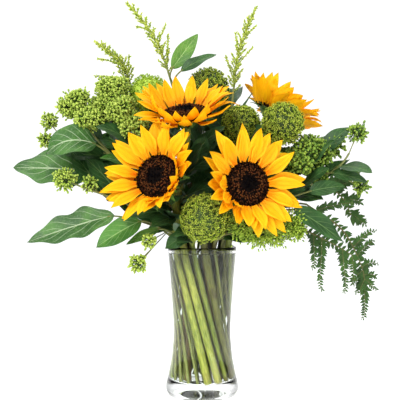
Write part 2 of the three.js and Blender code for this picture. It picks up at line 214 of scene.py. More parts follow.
class Wiring:
    """Adds and links the nodes of one tree."""

    def __init__(self, tree: bpy.types.NodeTree) -> None:
        """Keeps the tree to work on."""
        self.tree = tree

    def add(self, kind: str, sockets: dict, **settings: object) -> bpy.types.Node:
        """Adds a node and fills or links its inputs.

        Args:
            kind: The node's type name.
            sockets: A value or an output socket for each input, by name or number.
            settings: Plain settings of the node.

        Returns:
            The new node.
        """
        node = self.tree.nodes.new(kind)
        for key, value in settings.items():
            setattr(node, key, value)
        for key, value in sockets.items():
            if isinstance(value, bpy.types.NodeSocket):
                self.tree.links.new(value, node.inputs[key])
            else:
                node.inputs[key].default_value = value
        return node

    def out(self, kind: str, sockets: dict, **settings: object) -> object:
        """Returns the first output of a new node."""
        return self.add(kind, sockets, **settings).outputs[0]

    def times(self, first: object, second: object) -> object:
        """Returns the product of two numbers."""
        return self.sum("MULTIPLY", first, second)

    def less(self, first: object, second: object) -> object:
        """Returns the first number less the second."""
        return self.sum("SUBTRACT", first, second)

    def sum(self, operation: str, first: object, second: object = 0.0, third: object = 0.0) -> object:
        """Returns the output of a Math node."""
        sockets = {0: first, 1: second, 2: third}
        return self.out("ShaderNodeMath", sockets, operation=operation)

    def vectors(self, operation: str, first: object, second: object) -> object:
        """Returns the output of a Vector Math node."""
        return self.out("ShaderNodeVectorMath", {0: first, 1: second}, operation=operation)

    def scaled(self, vector: object, factor: object) -> object:
        """Returns a vector times a number."""
        return self.out("ShaderNodeVectorMath", {0: vector, "Scale": factor}, operation="SCALE")

    def ramp(self, value: object, low: float, high: float, out: Span = (0.0, 1.0)) -> object:
        """Maps a range of a value smoothly to another.

        Args:
            value: The output socket to map.
            low: The start of its range.
            high: The end of its range.
            out: What the two ends become.

        Returns:
            The output socket.
        """
        sockets = {0: value, 1: low, 2: high, 3: out[0], 4: out[1]}
        return self.out("ShaderNodeMapRange", sockets, interpolation_type="SMOOTHSTEP")

    def noise(self, vector: object, scale: float, detail: float = 2.0) -> object:
        """Returns the value of a noise texture."""
        return self.out("ShaderNodeTexNoise", {"Vector": vector, "Scale": scale, "Detail": detail})


class ShaderWiring(Wiring):
    """Adds the nodes of a surface finish."""

    def colour(self, factor: object, low: object, high: object, blend: str = "MIX") -> object:
        """Mixes two colours.

        Args:
            factor: How much of the second, a number or a socket.
            low: The first colour, a code or a socket.
            high: The second colour, a code or a socket.
            blend: The way they mix.

        Returns:
            The output socket.
        """
        sockets = {0: factor}
        for key, value in ((6, low), (7, high)):
            sockets[key] = colour_of(value) if isinstance(value, str) else value
        return self.add("ShaderNodeMix", sockets, data_type="RGBA", blend_type=blend).outputs[2]

    def value(self, name: str) -> bpy.types.Node:
        """Returns the node that reads a named point value."""
        return self.add("ShaderNodeAttribute", {}, attribute_name=name)

    def lay(self) -> tuple[object, object, object, object]:
        """Reads the lay value.

        Returns:
            The vector and its three parts.
        """
        vector = self.value("lay").outputs["Vector"]
        parts = self.add("ShaderNodeSeparateXYZ", {0: vector})
        return (vector, *parts.outputs)

    def place(self) -> object:
        """Returns the place on the piece, in metres."""
        return self.add("ShaderNodeTexCoord", {}).outputs["Object"]

    def relief(self, height: object, depth: float, strength: float = 0.6) -> object:
        """Returns the normal of a bumped surface."""
        sockets = {"Strength": strength, "Distance": depth * MM, "Height": height}
        return self.out("ShaderNodeBump", sockets)


class Finish:
    """A surface finish. Its material is made once and then shared."""

    made: dict[str, bpy.types.Material] = {}

    def wire(self, nodes: ShaderWiring) -> object:
        """Returns the shader socket of the finish."""
        raise NotImplementedError

    def material(self) -> bpy.types.Material:
        """Makes the material, or finds it if it is made already.

        Returns:
            The material.
        """
        name = self.name
        if name not in Finish.made:
            material = bpy.data.materials.new(name)
            material.use_nodes = True
            material.node_tree.nodes.clear()
            nodes = ShaderWiring(material.node_tree)
            nodes.add("ShaderNodeOutputMaterial", {"Surface": self.wire(nodes)})
            Finish.made[name] = material
        return Finish.made[name]


def thin_shader(nodes: ShaderWiring, sockets: dict, glow: object, share: float) -> object:
    """Makes a surface that also lets some light through from behind.

    Args:
        nodes: The finish's wiring.
        sockets: The inputs of the Principled node.
        glow: The colour of the light that comes through.
        share: How much of the surface it is.

    Returns:
        The shader socket.
    """
    front = nodes.out("ShaderNodeBsdfPrincipled", sockets)
    through = {"Color": glow}
    if "Normal" in sockets:
        through["Normal"] = sockets["Normal"]
    behind = nodes.out("ShaderNodeBsdfTranslucent", through)
    return nodes.out("ShaderNodeMixShader", {0: share, 1: front, 2: behind})


@dataclass(frozen=True)
class PetalFinish(Finish):
    """A golden ray floret: orange at its foot, yellow at its tip, with fine veins along it, a painted
    highlight along its edges and painted shade in its two creases.
    """

    name: str = "golden_ray_floret"
    foot: str = "FA9600"
    middle: str = "FFBE00"
    tip: str = "FFCC0C"
    # The edge colour is a painted highlight that lightens the rims.
    edge: str = "FFD828"
    back: str = "FFCC0C"

    def wire(self, nodes: ShaderWiring) -> object:
        """Wires the finish.

        Args:
            nodes: The wiring of its material.

        Returns:
            The shader socket.
        """
        vector, across, along, side = nodes.lay()
        tint = nodes.value("tint").outputs["Fac"]
        stretched = nodes.vectors("MULTIPLY", vector, (9.0, 0.9, 0.0))
        shifted = nodes.vectors("ADD", stretched, nodes.scaled((7.0, 3.0, 5.0), tint))
        veins = nodes.noise(shifted, 1.6, 3.0)
        body = nodes.colour(nodes.ramp(along, 0.02, 0.42), self.foot, self.middle)
        body = nodes.colour(nodes.ramp(along, 0.4, 0.95), body, self.tip)
        out = nodes.sum("ABSOLUTE", across)
        # Painted highlight: the rims are lightened towards the edge colour, as where they catch the light.
        body = nodes.colour(nodes.ramp(out, 0.55, 1.0, (0.0, 0.55)), body, self.edge)
        # Painted shade: the two creases are darkened towards orange, most near the foot; the same mask sinks
        # them in the bump.
        crease_and_shade = nodes.ramp(nodes.sum("ABSOLUTE", nodes.less(out, 0.34)), 0.16, 0.0, (0.0, 0.5))
        body = nodes.colour(nodes.times(crease_and_shade, nodes.ramp(along, 0.95, 0.3)), body, "F49A00")
        body = nodes.colour(nodes.times(nodes.ramp(veins, 0.5, 0.72), 0.4), body, "F8A000")
        body = nodes.colour(nodes.ramp(tint, 0.55, 1.0, (0.0, 0.35)), body, "FFD414")
        body = nodes.colour(nodes.ramp(tint, 0.45, 0.0, (0.0, 0.4)), body, "FFB600")
        backs = nodes.colour(nodes.ramp(veins, 0.45, 0.7, (0.0, 0.6)), self.back, "FFBA00")
        backs = nodes.colour(nodes.ramp(along, 0.45, 0.0, (0.0, 0.5)), backs, "FAA600")
        body = nodes.colour(nodes.ramp(side, 0.6, 0.4), body, backs)
        sockets = {
            "Base Color": body,
            "Roughness": nodes.ramp(veins, 0.3, 0.7, (0.5, 0.62)),
            "Specular IOR Level": 0.2,
            "Normal": nodes.relief(nodes.less(veins, crease_and_shade), 0.9),
        }
        return thin_shader(nodes, sockets, body, 0.36)


@dataclass(frozen=True)
class LeafFinish(Finish):
    """A leaf with a pale midrib, side veins, mottled green and a duller underside."""

    name: str
    green: str
    deep: str
    vein: str
    back: str
    pairs: float = 7.0
    gloss: float = 0.42

    def wire(self, nodes: ShaderWiring) -> object:
        """Wires the finish.

        Args:
            nodes: The wiring of its material.

        Returns:
            The shader socket.
        """
        _, across, along, side = nodes.lay()
        tint = nodes.value("tint").outputs["Fac"]
        out = nodes.sum("ABSOLUTE", across)
        rows = nodes.sum("MULTIPLY_ADD", along, self.pairs, nodes.times(out, -2.1))
        wave = nodes.sum("ABSOLUTE", nodes.less(nodes.sum("FRACT", rows), 0.5))
        sides = nodes.times(nodes.ramp(wave, 0.07, 0.01), nodes.ramp(out, 1.0, 0.4, (0.15, 0.75)))
        rib = nodes.ramp(out, 0.06, 0.015)
        veins = nodes.sum("MAXIMUM", sides, rib)
        mottle = nodes.noise(nodes.place(), 45.0, 4.0)
        fine = nodes.noise(nodes.place(), 420.0, 2.0)
        body = nodes.colour(nodes.ramp(mottle, 0.35, 0.68), self.deep, self.green)
        body = nodes.colour(nodes.ramp(fine, 0.45, 0.8, (0.0, 0.14)), body, self.vein)
        body = nodes.colour(nodes.ramp(tint, 0.5, 1.0, (0.0, 0.3)), body, self.vein)
        body = nodes.colour(nodes.times(veins, 0.75), body, self.vein)
        body = nodes.colour(nodes.ramp(side, 0.6, 0.4, (0.0, 0.7)), body, self.back)
        height = nodes.sum("MULTIPLY_ADD", fine, 0.25, nodes.times(veins, -0.7))
        sockets = {
            "Base Color": body,
            "Roughness": nodes.ramp(mottle, 0.3, 0.7, (self.gloss, self.gloss + 0.16)),
            "Specular IOR Level": 0.3,
            "Sheen Weight": 0.04,
            "Normal": nodes.relief(height, 0.7),
        }
        return thin_shader(nodes, sockets, nodes.colour(0.5, body, "9FC23A"), 0.16)


@dataclass(frozen=True)
class BudFinish(Finish):
    """Small buds or bristles, dark where they start and bright at their ends: the dark feet are painted shade
    deep among the copies, and the bright ends are partly their own paler colour and partly painted light.
    """

    name: str
    low: str
    high: str
    other: str
    start: float = 0.1
    end: float = 0.8
    through: float = 0.12

    def wire(self, nodes: ShaderWiring) -> object:
        """Wires the finish.

        Args:
            nodes: The wiring of its material.

        Returns:
            The shader socket.
        """
        along = nodes.lay()[2]
        tint = nodes.value("chance").outputs["Fac"]
        patch = nodes.noise(nodes.place(), 70.0, 2.0)
        grain = nodes.noise(nodes.place(), 900.0, 2.0)
        # Painted shade and light: each copy runs from the dark low colour at its foot, deep in the cluster,
        # to the bright high colour at its end.
        body = nodes.colour(nodes.ramp(along, self.start, self.end), self.low, self.high)
        other = nodes.colour(nodes.ramp(along, self.start, self.end), self.low, self.other)
        body = nodes.colour(nodes.ramp(tint, 0.3, 1.0), body, other)
        body = nodes.colour(nodes.ramp(patch, 0.5, 0.3, (0.0, 0.15)), body, self.low)
        sockets = {
            "Base Color": body,
            "Roughness": nodes.ramp(grain, 0.3, 0.7, (0.5, 0.68)),
            "Specular IOR Level": 0.3,
            "Normal": nodes.relief(grain, 0.4),
        }
        return thin_shader(nodes, sockets, body, self.through)


@dataclass(frozen=True)
class StalkFinish(Finish):
    """A ribbed green stalk with paler streaks and brown scars."""

    name: str
    green: str
    pale: str
    scar: str
    scarred: float = 0.5

    def wire(self, nodes: ShaderWiring) -> object:
        """Wires the finish.

        Args:
            nodes: The wiring of its material.

        Returns:
            The shader socket.
        """
        vector = nodes.lay()[0]
        streaks = nodes.noise(nodes.vectors("MULTIPLY", vector, (3.2, 3.2, 0.05)), 1.6, 3.0)
        spots = nodes.noise(nodes.vectors("MULTIPLY", vector, (1.0, 1.0, 0.35)), 1.1, 4.0)
        patch = nodes.noise(nodes.place(), 24.0, 2.0)
        body = nodes.colour(nodes.ramp(streaks, 0.36, 0.64), self.green, self.pale)
        body = nodes.colour(nodes.ramp(spots, 0.58, 0.72, (0.0, self.scarred)), body, self.scar)
        body = nodes.colour(nodes.ramp(patch, 0.52, 0.7, (0.0, self.scarred)), body, self.scar)
        height = nodes.sum("MULTIPLY_ADD", spots, 0.5, streaks)
        sockets = {
            "Base Color": body,
            "Roughness": nodes.ramp(streaks, 0.3, 0.7, (0.4, 0.58)),
            "Specular IOR Level": 0.35,
            "Normal": nodes.relief(height, 0.6),
        }
        return nodes.out("ShaderNodeBsdfPrincipled", sockets)


@dataclass(frozen=True)
class FloretFinish(Finish):
    """The disc's tiny florets: black-brown in the middle, a tawny ring, dark red-brown outside, and painted
    shade at each floret's foot.
    """

    name: str
    heart: str = "040305"
    ring: str = "4A2816"
    rim: str = "24120A"
    spark: str = "7E5424"

    def wire(self, nodes: ShaderWiring) -> object:
        """Wires the finish.

        Args:
            nodes: The wiring of its material.

        Returns:
            The shader socket.
        """
        along = nodes.lay()[2]
        fraction = nodes.value("tint").outputs["Fac"]
        chance = nodes.value("chance").outputs["Fac"]
        reach = nodes.sum("SQRT", fraction)
        into = nodes.ramp(reach, 0.3, 0.46)
        out = nodes.ramp(reach, 0.6, 0.76)
        body = nodes.colour(into, self.heart, self.ring)
        body = nodes.colour(out, body, self.rim)
        lit = nodes.times(nodes.ramp(along, 0.4, 1.0), nodes.ramp(chance, 0.2, 1.0, (0.03, 0.4)))
        lit = nodes.times(lit, nodes.times(into, nodes.ramp(out, 1.0, 0.0, (0.15, 1.0))))
        body = nodes.colour(lit, body, self.spark)
        # Painted shade: each floret darkens towards its foot, down in the gaps between the florets.
        body = nodes.colour(nodes.ramp(along, 0.35, 0.0, (0.0, 0.8)), body, "0E0805")
        grain = nodes.noise(nodes.place(), 1500.0, 2.0)
        sockets = {
            "Base Color": body,
            "Roughness": nodes.ramp(grain, 0.3, 0.7, (0.6, 0.8)),
            "Specular IOR Level": 0.03,
            "Normal": nodes.relief(grain, 0.3),
        }
        return nodes.out("ShaderNodeBsdfPrincipled", sockets)


@dataclass(frozen=True)
class ClearFinish(Finish):
    """Clear glass or water with the faintest tint and unevenness."""

    name: str
    tint: str
    index: float
    relief: float
    shine: str = "FFFFFF"

    def wire(self, nodes: ShaderWiring) -> object:
        """Wires the finish.

        Args:
            nodes: The wiring of its material.

        Returns:
            The shader socket.
        """
        slow = nodes.noise(nodes.place(), 14.0, 2.0)
        body = nodes.colour(nodes.ramp(slow, 0.3, 0.7), self.tint, "FFFFFF")
        sockets = {
            "Base Color": body,
            "Roughness": 0.0,
            "IOR": self.index,
            "Transmission Weight": 1.0,
            "Specular Tint": colour_of(self.shine),
            "Normal": nodes.relief(slow, self.relief, 0.25),
        }
        return nodes.out("ShaderNodeBsdfPrincipled", sockets)


@dataclass(frozen=True)
class FloorFinish(Finish):
    """Matt white paper."""

    name: str = "white_paper"

    def wire(self, nodes: ShaderWiring) -> object:
        """Wires the finish.

        Args:
            nodes: The wiring of its material.

        Returns:
            The shader socket.
        """
        grain = nodes.noise(nodes.place(), 300.0, 2.0)
        body = nodes.colour(nodes.ramp(grain, 0.3, 0.7), "F7F7F6", "FBFBFB")
        sockets = {
            "Base Color": body,
            "Roughness": 0.8,
            "Emission Color": (1, 1, 1, 1),
            "Emission Strength": 0.3,
        }
        return nodes.out("ShaderNodeBsdfPrincipled", sockets)


class Look(Enum):
    """The finishes of the bouquet."""

    PETAL = PetalFinish()
    DISC = FloretFinish("disc_florets")
    # The button under the florets is near-black: painted shade that shows in the gaps between them.
    DISC_BASE = FloretFinish("disc_button_painted_shade", "060405", "0C0706", "0C0705", "120A06")
    BRACT = LeafFinish("bract_green", "5F8A2C", "47701F", "86A548", "6C9038", 1.0, 0.55)
    BLUE_LEAF = LeafFinish("broad_leaf_green", "4A7632", "2E5622", "BACBA4", "6C8F54", 6.0, 0.4)
    FRESH_LEAF = LeafFinish("fresh_leaf_green", "4A802C", "2E5E1A", "98B870", "6F9648", 6.0, 0.42)
    DARK_LEAF = LeafFinish("dark_leaf_green", "315A26", "1C4018", "6C8E4C", "4C7040", 6.0, 0.42)
    PALE_LEAF = LeafFinish("pale_leaf_green", "5E8A34", "437026", "A4C078", "7C9E52", 5.0, 0.45)
    SPRIG_LEAF = LeafFinish("sprig_leaf_green", "5C8C34", "3A6622", "A4BE6C", "789C4A", 4.0, 0.5)
    # The bud and bristle finishes run from painted shade at the feet to bright ends that are partly painted
    # light.
    MOSS = BudFinish("moss_sprig_green", "5A7A1E", "BCD450", "98B83C", 0.0, 0.8, 0.28)
    FERN = LeafFinish("fern_green", "3A5E20", "223E14", "587630", "34561E", 3.0, 0.5)
    BALL = BudFinish("green_ball_bristle", "42580C", "F0FC64", "BCDC40", 0.4, 0.9, 0.25)
    # Near-black green for the cores under bristles and buds: painted shade deep inside a ball or cluster.
    DEEP = BudFinish("deep_green", "1E2C08", "304410", "283A0C")
    SOFT_BALL = BudFinish("soft_ball_bristle", "86A626", "B2CC46", "9ABA38", 0.1, 0.8, 0.15)
    GOLDENROD = BudFinish("goldenrod_bud", "64801E", "D0D864", "A4BE44", 0.0, 0.8, 0.22)
    BUD = BudFinish("bud_spray_green", "4E701E", "BCCE5C", "94B03E", 0.05, 0.9, 0.18)
    DARK_BUD = BudFinish("leafy_bud_green", "34541A", "94AE40", "66882C", 0.1, 0.9, 0.15)
    STEM = StalkFinish("flower_stem", "64701E", "9EA246", "5A4218", 0.6)
    LIGHT_STEM = StalkFinish("dianthus_stem", "505E1A", "7E8834", "4A3614", 0.7)
    OLIVE_STEM = StalkFinish("olive_stem", "464A1A", "6C6C30", "30220E", 0.8)
    BROWN_STEM = StalkFinish("brown_stem", "5A4822", "7C683A", "2E2010", 0.8)
    # Near-black stems for the bundle at the vase's core: painted shade in the gaps between the stems.
    DARK_STEM = StalkFinish("painted_shade_stem", "22260C", "3A3C16", "1A140A", 0.8)
    THIN_STEM = StalkFinish("thin_stem", "58622A", "868A4C", "5A4620", 0.5)
    RACHIS = StalkFinish("fern_rachis", "4E5226", "6E6E38", "4A3218", 0.6)
    GLASS = ClearFinish("clear_glass", "F4F8F6", 1.5, 0.15, "949494")
    WATER = ClearFinish("clear_water", "F6FBF4", 1.333, 0.05, "5A5A5A")
    FLOOR = FloorFinish()

    def material(self) -> bpy.types.Material:
        """Returns the finish's material."""
        return self.value.material()


# ---- meshes


class Sketch:
    """Collects the faces of one mesh, with its lay and tint values."""

    def __init__(self) -> None:
        """Starts an empty mesh."""
        self.points: list[Array] = []
        self.lays: list[Array] = []
        self.tints: list[Array] = []
        self.faces: list[tuple[int, ...]] = []
        self.count = 0

    def put(self, points: Array, faces: list[tuple[int, ...]], lays: Array, tint: float) -> None:
        """Adds points and the faces between them.

        Args:
            points: The places, one row each.
            faces: The faces, numbered within these points.
            lays: The lay value of each point.
            tint: The tint of all of them.
        """
        start = self.count
        self.points.append(points)
        self.lays.append(lays)
        self.tints.append(np.full(len(points), tint))
        self.faces.extend(tuple(start + i for i in face) for face in faces)
        self.count += len(points)

    def sheet(self, grid: Array, thickness: float, tint: float) -> None:
        """Adds a thin closed sheet. Its upper side faces across x along.

        Args:
            grid: The places of the upper side, rows along and columns across.
            thickness: How thick it is in the middle.
            tint: The sheet's tint.
        """
        rows, columns, _ = grid.shape
        normal = np.cross(np.gradient(grid, axis=1), np.gradient(grid, axis=0))
        normal /= np.maximum(np.linalg.norm(normal, axis=2, keepdims=True), 1e-9)
        across, along = np.meshgrid(np.linspace(-1, 1, columns), np.linspace(0, 1, rows))
        depth = thickness * (1 - 0.6 * np.abs(across) ** 3)[..., None]
        size = rows * columns
        faces = []
        for i in range(rows - 1):
            for j in range(columns - 1):
                a = i * columns + j
                faces.append((a, a + 1, a + columns + 1, a + columns))
                faces.append((size + a, size + a + columns, size + a + columns + 1, size + a + 1))
        edge = list(range(columns))
        edge += [i * columns + columns - 1 for i in range(1, rows)]
        edge += [(rows - 1) * columns + j for j in range(columns - 2, -1, -1)]
        edge += [i * columns for i in range(rows - 2, 0, -1)]
        for a, b in zip(edge, edge[1:] + edge[:1]):
            faces.append((size + a, size + b, b, a))
        upper = np.stack([across, along, np.ones_like(along)], axis=2).reshape(-1, 3)
        under = upper * (1, 1, 0)
        points = np.concatenate([grid.reshape(-1, 3), (grid - normal * depth).reshape(-1, 3)])
        self.put(points, faces, np.concatenate([upper, under]), tint)

    def lathe(self, profile: list[Span], segments: int, place: Array, axis: Array) -> None:
        """Adds a closed turned solid.

        Args:
            profile: Radius and height of each ring; the ends close on the axis.
            segments: How many sides it has.
            place: Where its origin goes.
            axis: The direction of its axis.
        """
        first, second, third = basis(axis)
        angles = np.linspace(0, 2 * math.pi, segments, endpoint=False)
        around = np.outer(np.cos(angles), first) + np.outer(np.sin(angles), second)
        rings = profile[1:-1]
        points = [place + profile[0][1] * third]
        points += [place + r * row + z * third for r, z in rings for row in around]
        points.append(place + profile[-1][1] * third)
        lays = [(0.0, 0.0, 0.0)]
        for k in range(len(rings)):
            lays += [(math.cos(a), k / max(len(rings) - 1, 1), 1.0) for a in angles]
        lays.append((0.0, 1.0, 0.0))
        last = len(points) - 1
        faces = []
        for j in range(segments):
            n = (j + 1) % segments
            faces.append((0, 1 + n, 1 + j))
            for k in range(len(rings) - 1):
                a = 1 + k * segments
                faces.append((a + j, a + n, a + segments + n, a + segments + j))
            faces.append((last - segments + j, last - segments + n, last))
        self.put(np.array(points), faces, np.array(lays), 0.5)

    def strand(self, route: Array) -> None:
        """Adds an open line of points for a stalk or a row to follow.

        Args:
            route: The places, from the foot on.
        """
        start = self.count
        along = np.linspace(0, 1, len(route))
        aim = np.gradient(route, axis=0)
        self.points.append(route)
        self.lays.append(aim / np.maximum(np.linalg.norm(aim, axis=1, keepdims=True), 1e-9))
        self.tints.append(along)
        self.faces.extend((start + i, start + i + 1) for i in range(len(route) - 1))
        self.count += len(route)

    def object(self, name: str, look: Look | None = None, sharp: float = 50.0) -> Item:
        """Makes the mesh, in metres, as an object of the scene.

        Args:
            name: The object's name.
            look: Its finish, if it has one yet.
            sharp: The least angle that stays a hard edge, in degrees.

        Returns:
            The object.
        """
        mesh = bpy.data.meshes.new(name)
        lines = [f for f in self.faces if len(f) == 2]
        planes = [f for f in self.faces if len(f) > 2]
        mesh.from_pydata((np.concatenate(self.points) * MM).tolist(), lines, planes)
        lay = mesh.attributes.new("lay", "FLOAT_VECTOR", "POINT")
        lay.data.foreach_set("vector", np.concatenate(self.lays).astype(np.float32).ravel())
        tints = np.concatenate(self.tints).astype(np.float32)
        mesh.attributes.new("tint", "FLOAT", "POINT").data.foreach_set("value", tints)
        if planes:
            mesh.shade_smooth()
            mesh.set_sharp_from_angle(angle=math.radians(sharp))
        if look:
            mesh.materials.append(look.material())
        return added(name, mesh)


# ---- geometry trees


class Tree(Wiring):
    """A geometry node tree with named inputs, run on an object and turned into a plain mesh."""

    def __init__(self, name: str, inputs: dict[str, float | str]) -> None:
        """Makes the tree's inputs.

        Args:
            name: The tree's name.
            inputs: Each named input's first value, or its kind where it has none.
        """
        super().__init__(bpy.data.node_groups.new(name, "GeometryNodeTree"))
        face = self.tree.interface
        face.new_socket("Geometry", in_out="INPUT", socket_type="NodeSocketGeometry")
        face.new_socket("Geometry", in_out="OUTPUT", socket_type="NodeSocketGeometry")
        self.keys = {}
        for label, value in inputs.items():
            kind = value if isinstance(value, str) else type(value).__name__.capitalize()
            socket = face.new_socket(label, in_out="INPUT", socket_type=f"NodeSocket{kind}")
            if kind != value:
                socket.default_value = value
            self.keys[label] = socket.identifier
        self.given = self.tree.nodes.new("NodeGroupInput").outputs

    def read(self, name: str, kind: str = "FLOAT") -> object:
        """Returns a value that is kept on the geometry."""
        return self.out("GeometryNodeInputNamedAttribute", {"Name": name}, data_type=kind)

    def drawn(self, low: object, high: object, seed: int) -> object:
        """Returns a random number for each point, from the tree's seed."""
        where = self.sum("ADD", self.given["Seed"], float(seed))
        return self.add("FunctionNodeRandomValue", {2: low, 3: high, 8: where}).outputs[1]

    def stored(self, geometry: object, name: str, value: object, kind: str = "FLOAT") -> object:
        """Keeps a value on the geometry under a name.

        Args:
            geometry: The geometry socket.
            name: The value's name.
            value: The value's socket.
            kind: FLOAT or FLOAT_VECTOR.

        Returns:
            The geometry socket.
        """
        sockets = {0: geometry, "Name": name, "Value": value}
        return self.out("GeometryNodeStoreNamedAttribute", sockets, data_type=kind, domain="POINT")

    def spun(self, rotation: object, axis: Point, angle: object) -> object:
        """Turns a rotation further round one of its own axes.

        Args:
            rotation: The rotation's socket.
            axis: The axis, as the turned copy has it.
            angle: How far, in radians.

        Returns:
            The rotation's socket.
        """
        extra = self.out("FunctionNodeAxisAngleToRotation", {"Axis": axis, "Angle": angle})
        sockets = {0: rotation, 1: extra}
        return self.out("FunctionNodeRotateRotation", sockets, rotation_space="LOCAL")

    def close(self, geometry: object) -> None:
        """Ends the tree with Realize Instances and Set Material.

        Args:
            geometry: The geometry socket to end with.
        """
        real = self.out("GeometryNodeRealizeInstances", {0: geometry})
        done = self.out("GeometryNodeSetMaterial", {0: real, 2: self.given["Material"]})
        self.add("NodeGroupOutput", {0: done})

    def run(self, name: str, base: Item, values: dict[str, object]) -> Item:
        """Runs the tree on an object and keeps the result as a plain mesh.

        Args:
            name: The new object's name.
            base: The object that it starts from, which is used up.
            values: A value for each named input.

        Returns:
            The new object.
        """
        modifier = base.modifiers.new("Grow", "NODES")
        modifier.node_group = self.tree
        for label, value in values.items():
            modifier[self.keys[label]] = value.material() if isinstance(value, Look) else value
        graph = bpy.context.evaluated_depsgraph_get()
        mesh = bpy.data.meshes.new_from_object(base.evaluated_get(graph))
        base.modifiers.remove(modifier)
        bpy.data.objects.remove(base)
        mesh.name = name
        return added(name, mesh)


class StalkTree(Tree):
    """Runs a round stalk along each strand, thinner towards its end and a little uneven."""

    def __init__(self) -> None:
        """Wires the tree."""
        super().__init__(
            "stalk_along_strand",
            {"Foot": 0.003, "End": 0.002, "Sides": 10, "Uneven": 0.0002, "Material": "Material"},
        )
        along = self.read("tint")
        width = self.less(self.given["End"], self.given["Foot"])
        width = self.sum("MULTIPLY_ADD", width, along, self.given["Foot"])
        curve = self.out("GeometryNodeMeshToCurve", {0: self.given["Geometry"]})
        run = self.add("GeometryNodeSplineParameter", {}).outputs
        curve = self.stored(curve, "run", run[1])
        ring = self.out("GeometryNodeCurvePrimitiveCircle", {0: self.given["Sides"], 4: 1.0})
        ring = self.stored(ring, "turn", self.out("GeometryNodeSplineParameter", {}))
        sockets = {0: curve, 1: ring, "Scale": width, "Fill Caps": True}
        skin = self.out("GeometryNodeCurveToMesh", sockets)
        turn = self.read("turn")
        far = self.read("run")
        angle = self.times(turn, 2 * math.pi)
        east, north = self.sum("COSINE", angle), self.sum("SINE", angle)
        parts = {0: east, 1: north, 2: self.times(far, 1 / MM)}
        lay = self.out("ShaderNodeCombineXYZ", parts)
        skin = self.stored(skin, "lay", lay, "FLOAT_VECTOR")
        bumps = self.noise(self.vectors("MULTIPLY", lay, (1.0, 1.0, 0.08)), 1.3)
        swell = self.times(self.less(bumps, 0.5), self.given["Uneven"])
        normal = self.out("GeometryNodeInputNormal", {})
        skin = self.out("GeometryNodeSetPosition", {0: skin, 3: self.scaled(normal, swell)})
        skin = self.out("GeometryNodeSetShadeSmooth", {0: skin})
        self.close(skin)


class CapTree(Tree):
    """Sets copies on a ball or a dome of it, in the spiral order in which florets grow."""

    def __init__(self) -> None:
        """Wires the tree."""
        super().__init__(
            "copies_in_a_spiral",
            {
                "Count": 100, "Radius": 0.01, "Opening": math.pi, "Depth": 0.0, "Lumps": 0.0,
                "Spread": 0.2, "Small": 0.001, "Large": 0.001, "Growth": 0.0, "Centre": "Vector",
                "Turn": "Vector", "Copy": "Object", "Seed": 1, "Material": "Material",
            },
        )
        given = self.given
        index = self.out("GeometryNodeInputIndex", {})
        share = self.sum("DIVIDE", self.sum("ADD", index, 0.5), given["Count"])
        angle = self.times(index, math.pi * (3 - math.sqrt(5)))
        fall = self.less(1.0, self.sum("COSINE", given["Opening"]))
        up = self.less(1.0, self.times(fall, share))
        rest = self.less(1.0, self.times(up, up))
        out = self.sum("SQRT", self.sum("MAXIMUM", rest, 0.0))
        east = self.times(out, self.sum("COSINE", angle))
        north = self.times(out, self.sum("SINE", angle))
        ray = self.out("ShaderNodeCombineXYZ", {0: east, 1: north, 2: up})
        ends = {0: (-1, -1, -1), 1: (1, 1, 1), 8: given["Seed"]}
        wander = self.out("FunctionNodeRandomValue", ends, data_type="FLOAT_VECTOR")
        loose = self.vectors("ADD", ray, self.scaled(wander, self.times(given["Spread"], 0.35)))
        centred = self.vectors("ADD", self.scaled(ray, 1.9), given["Centre"])
        clumps = self.less(self.noise(centred, 1.6, 0.0), 0.5)
        reach = self.sum("MULTIPLY_ADD", clumps, given["Lumps"], 1.0)
        reach = self.less(reach, self.drawn(0.0, given["Depth"], 1))
        where = self.scaled(self.scaled(loose, reach), given["Radius"])
        points = self.out("GeometryNodePoints", {0: given["Count"], 1: where})
        points = self.stored(points, "tint", share)
        points = self.stored(points, "chance", self.drawn(0.0, 1.0, 2))
        heading = self.vectors("ADD", ray, self.scaled(wander, given["Spread"]))
        rotation = self.out("FunctionNodeAlignRotationToVector", {2: heading}, axis="Z")
        rotation = self.spun(rotation, (0, 0, 1), self.drawn(0.0, 2 * math.pi, 3))
        size = self.drawn(given["Small"], given["Large"], 4)
        size = self.times(size, self.sum("MULTIPLY_ADD", given["Growth"], share, 1.0))
        copy = self.add("GeometryNodeObjectInfo", {0: given["Copy"]}).outputs["Geometry"]
        sockets = {"Points": points, "Instance": copy, "Rotation": rotation, "Scale": size}
        copies = self.out("GeometryNodeInstanceOnPoints", sockets)
        lift = self.out("FunctionNodeEulerToRotation", {0: given["Turn"]})
        sockets = {"Geometry": copies, "Translation": given["Centre"], "Rotation": lift}
        self.close(self.out("GeometryNodeTransform", sockets))


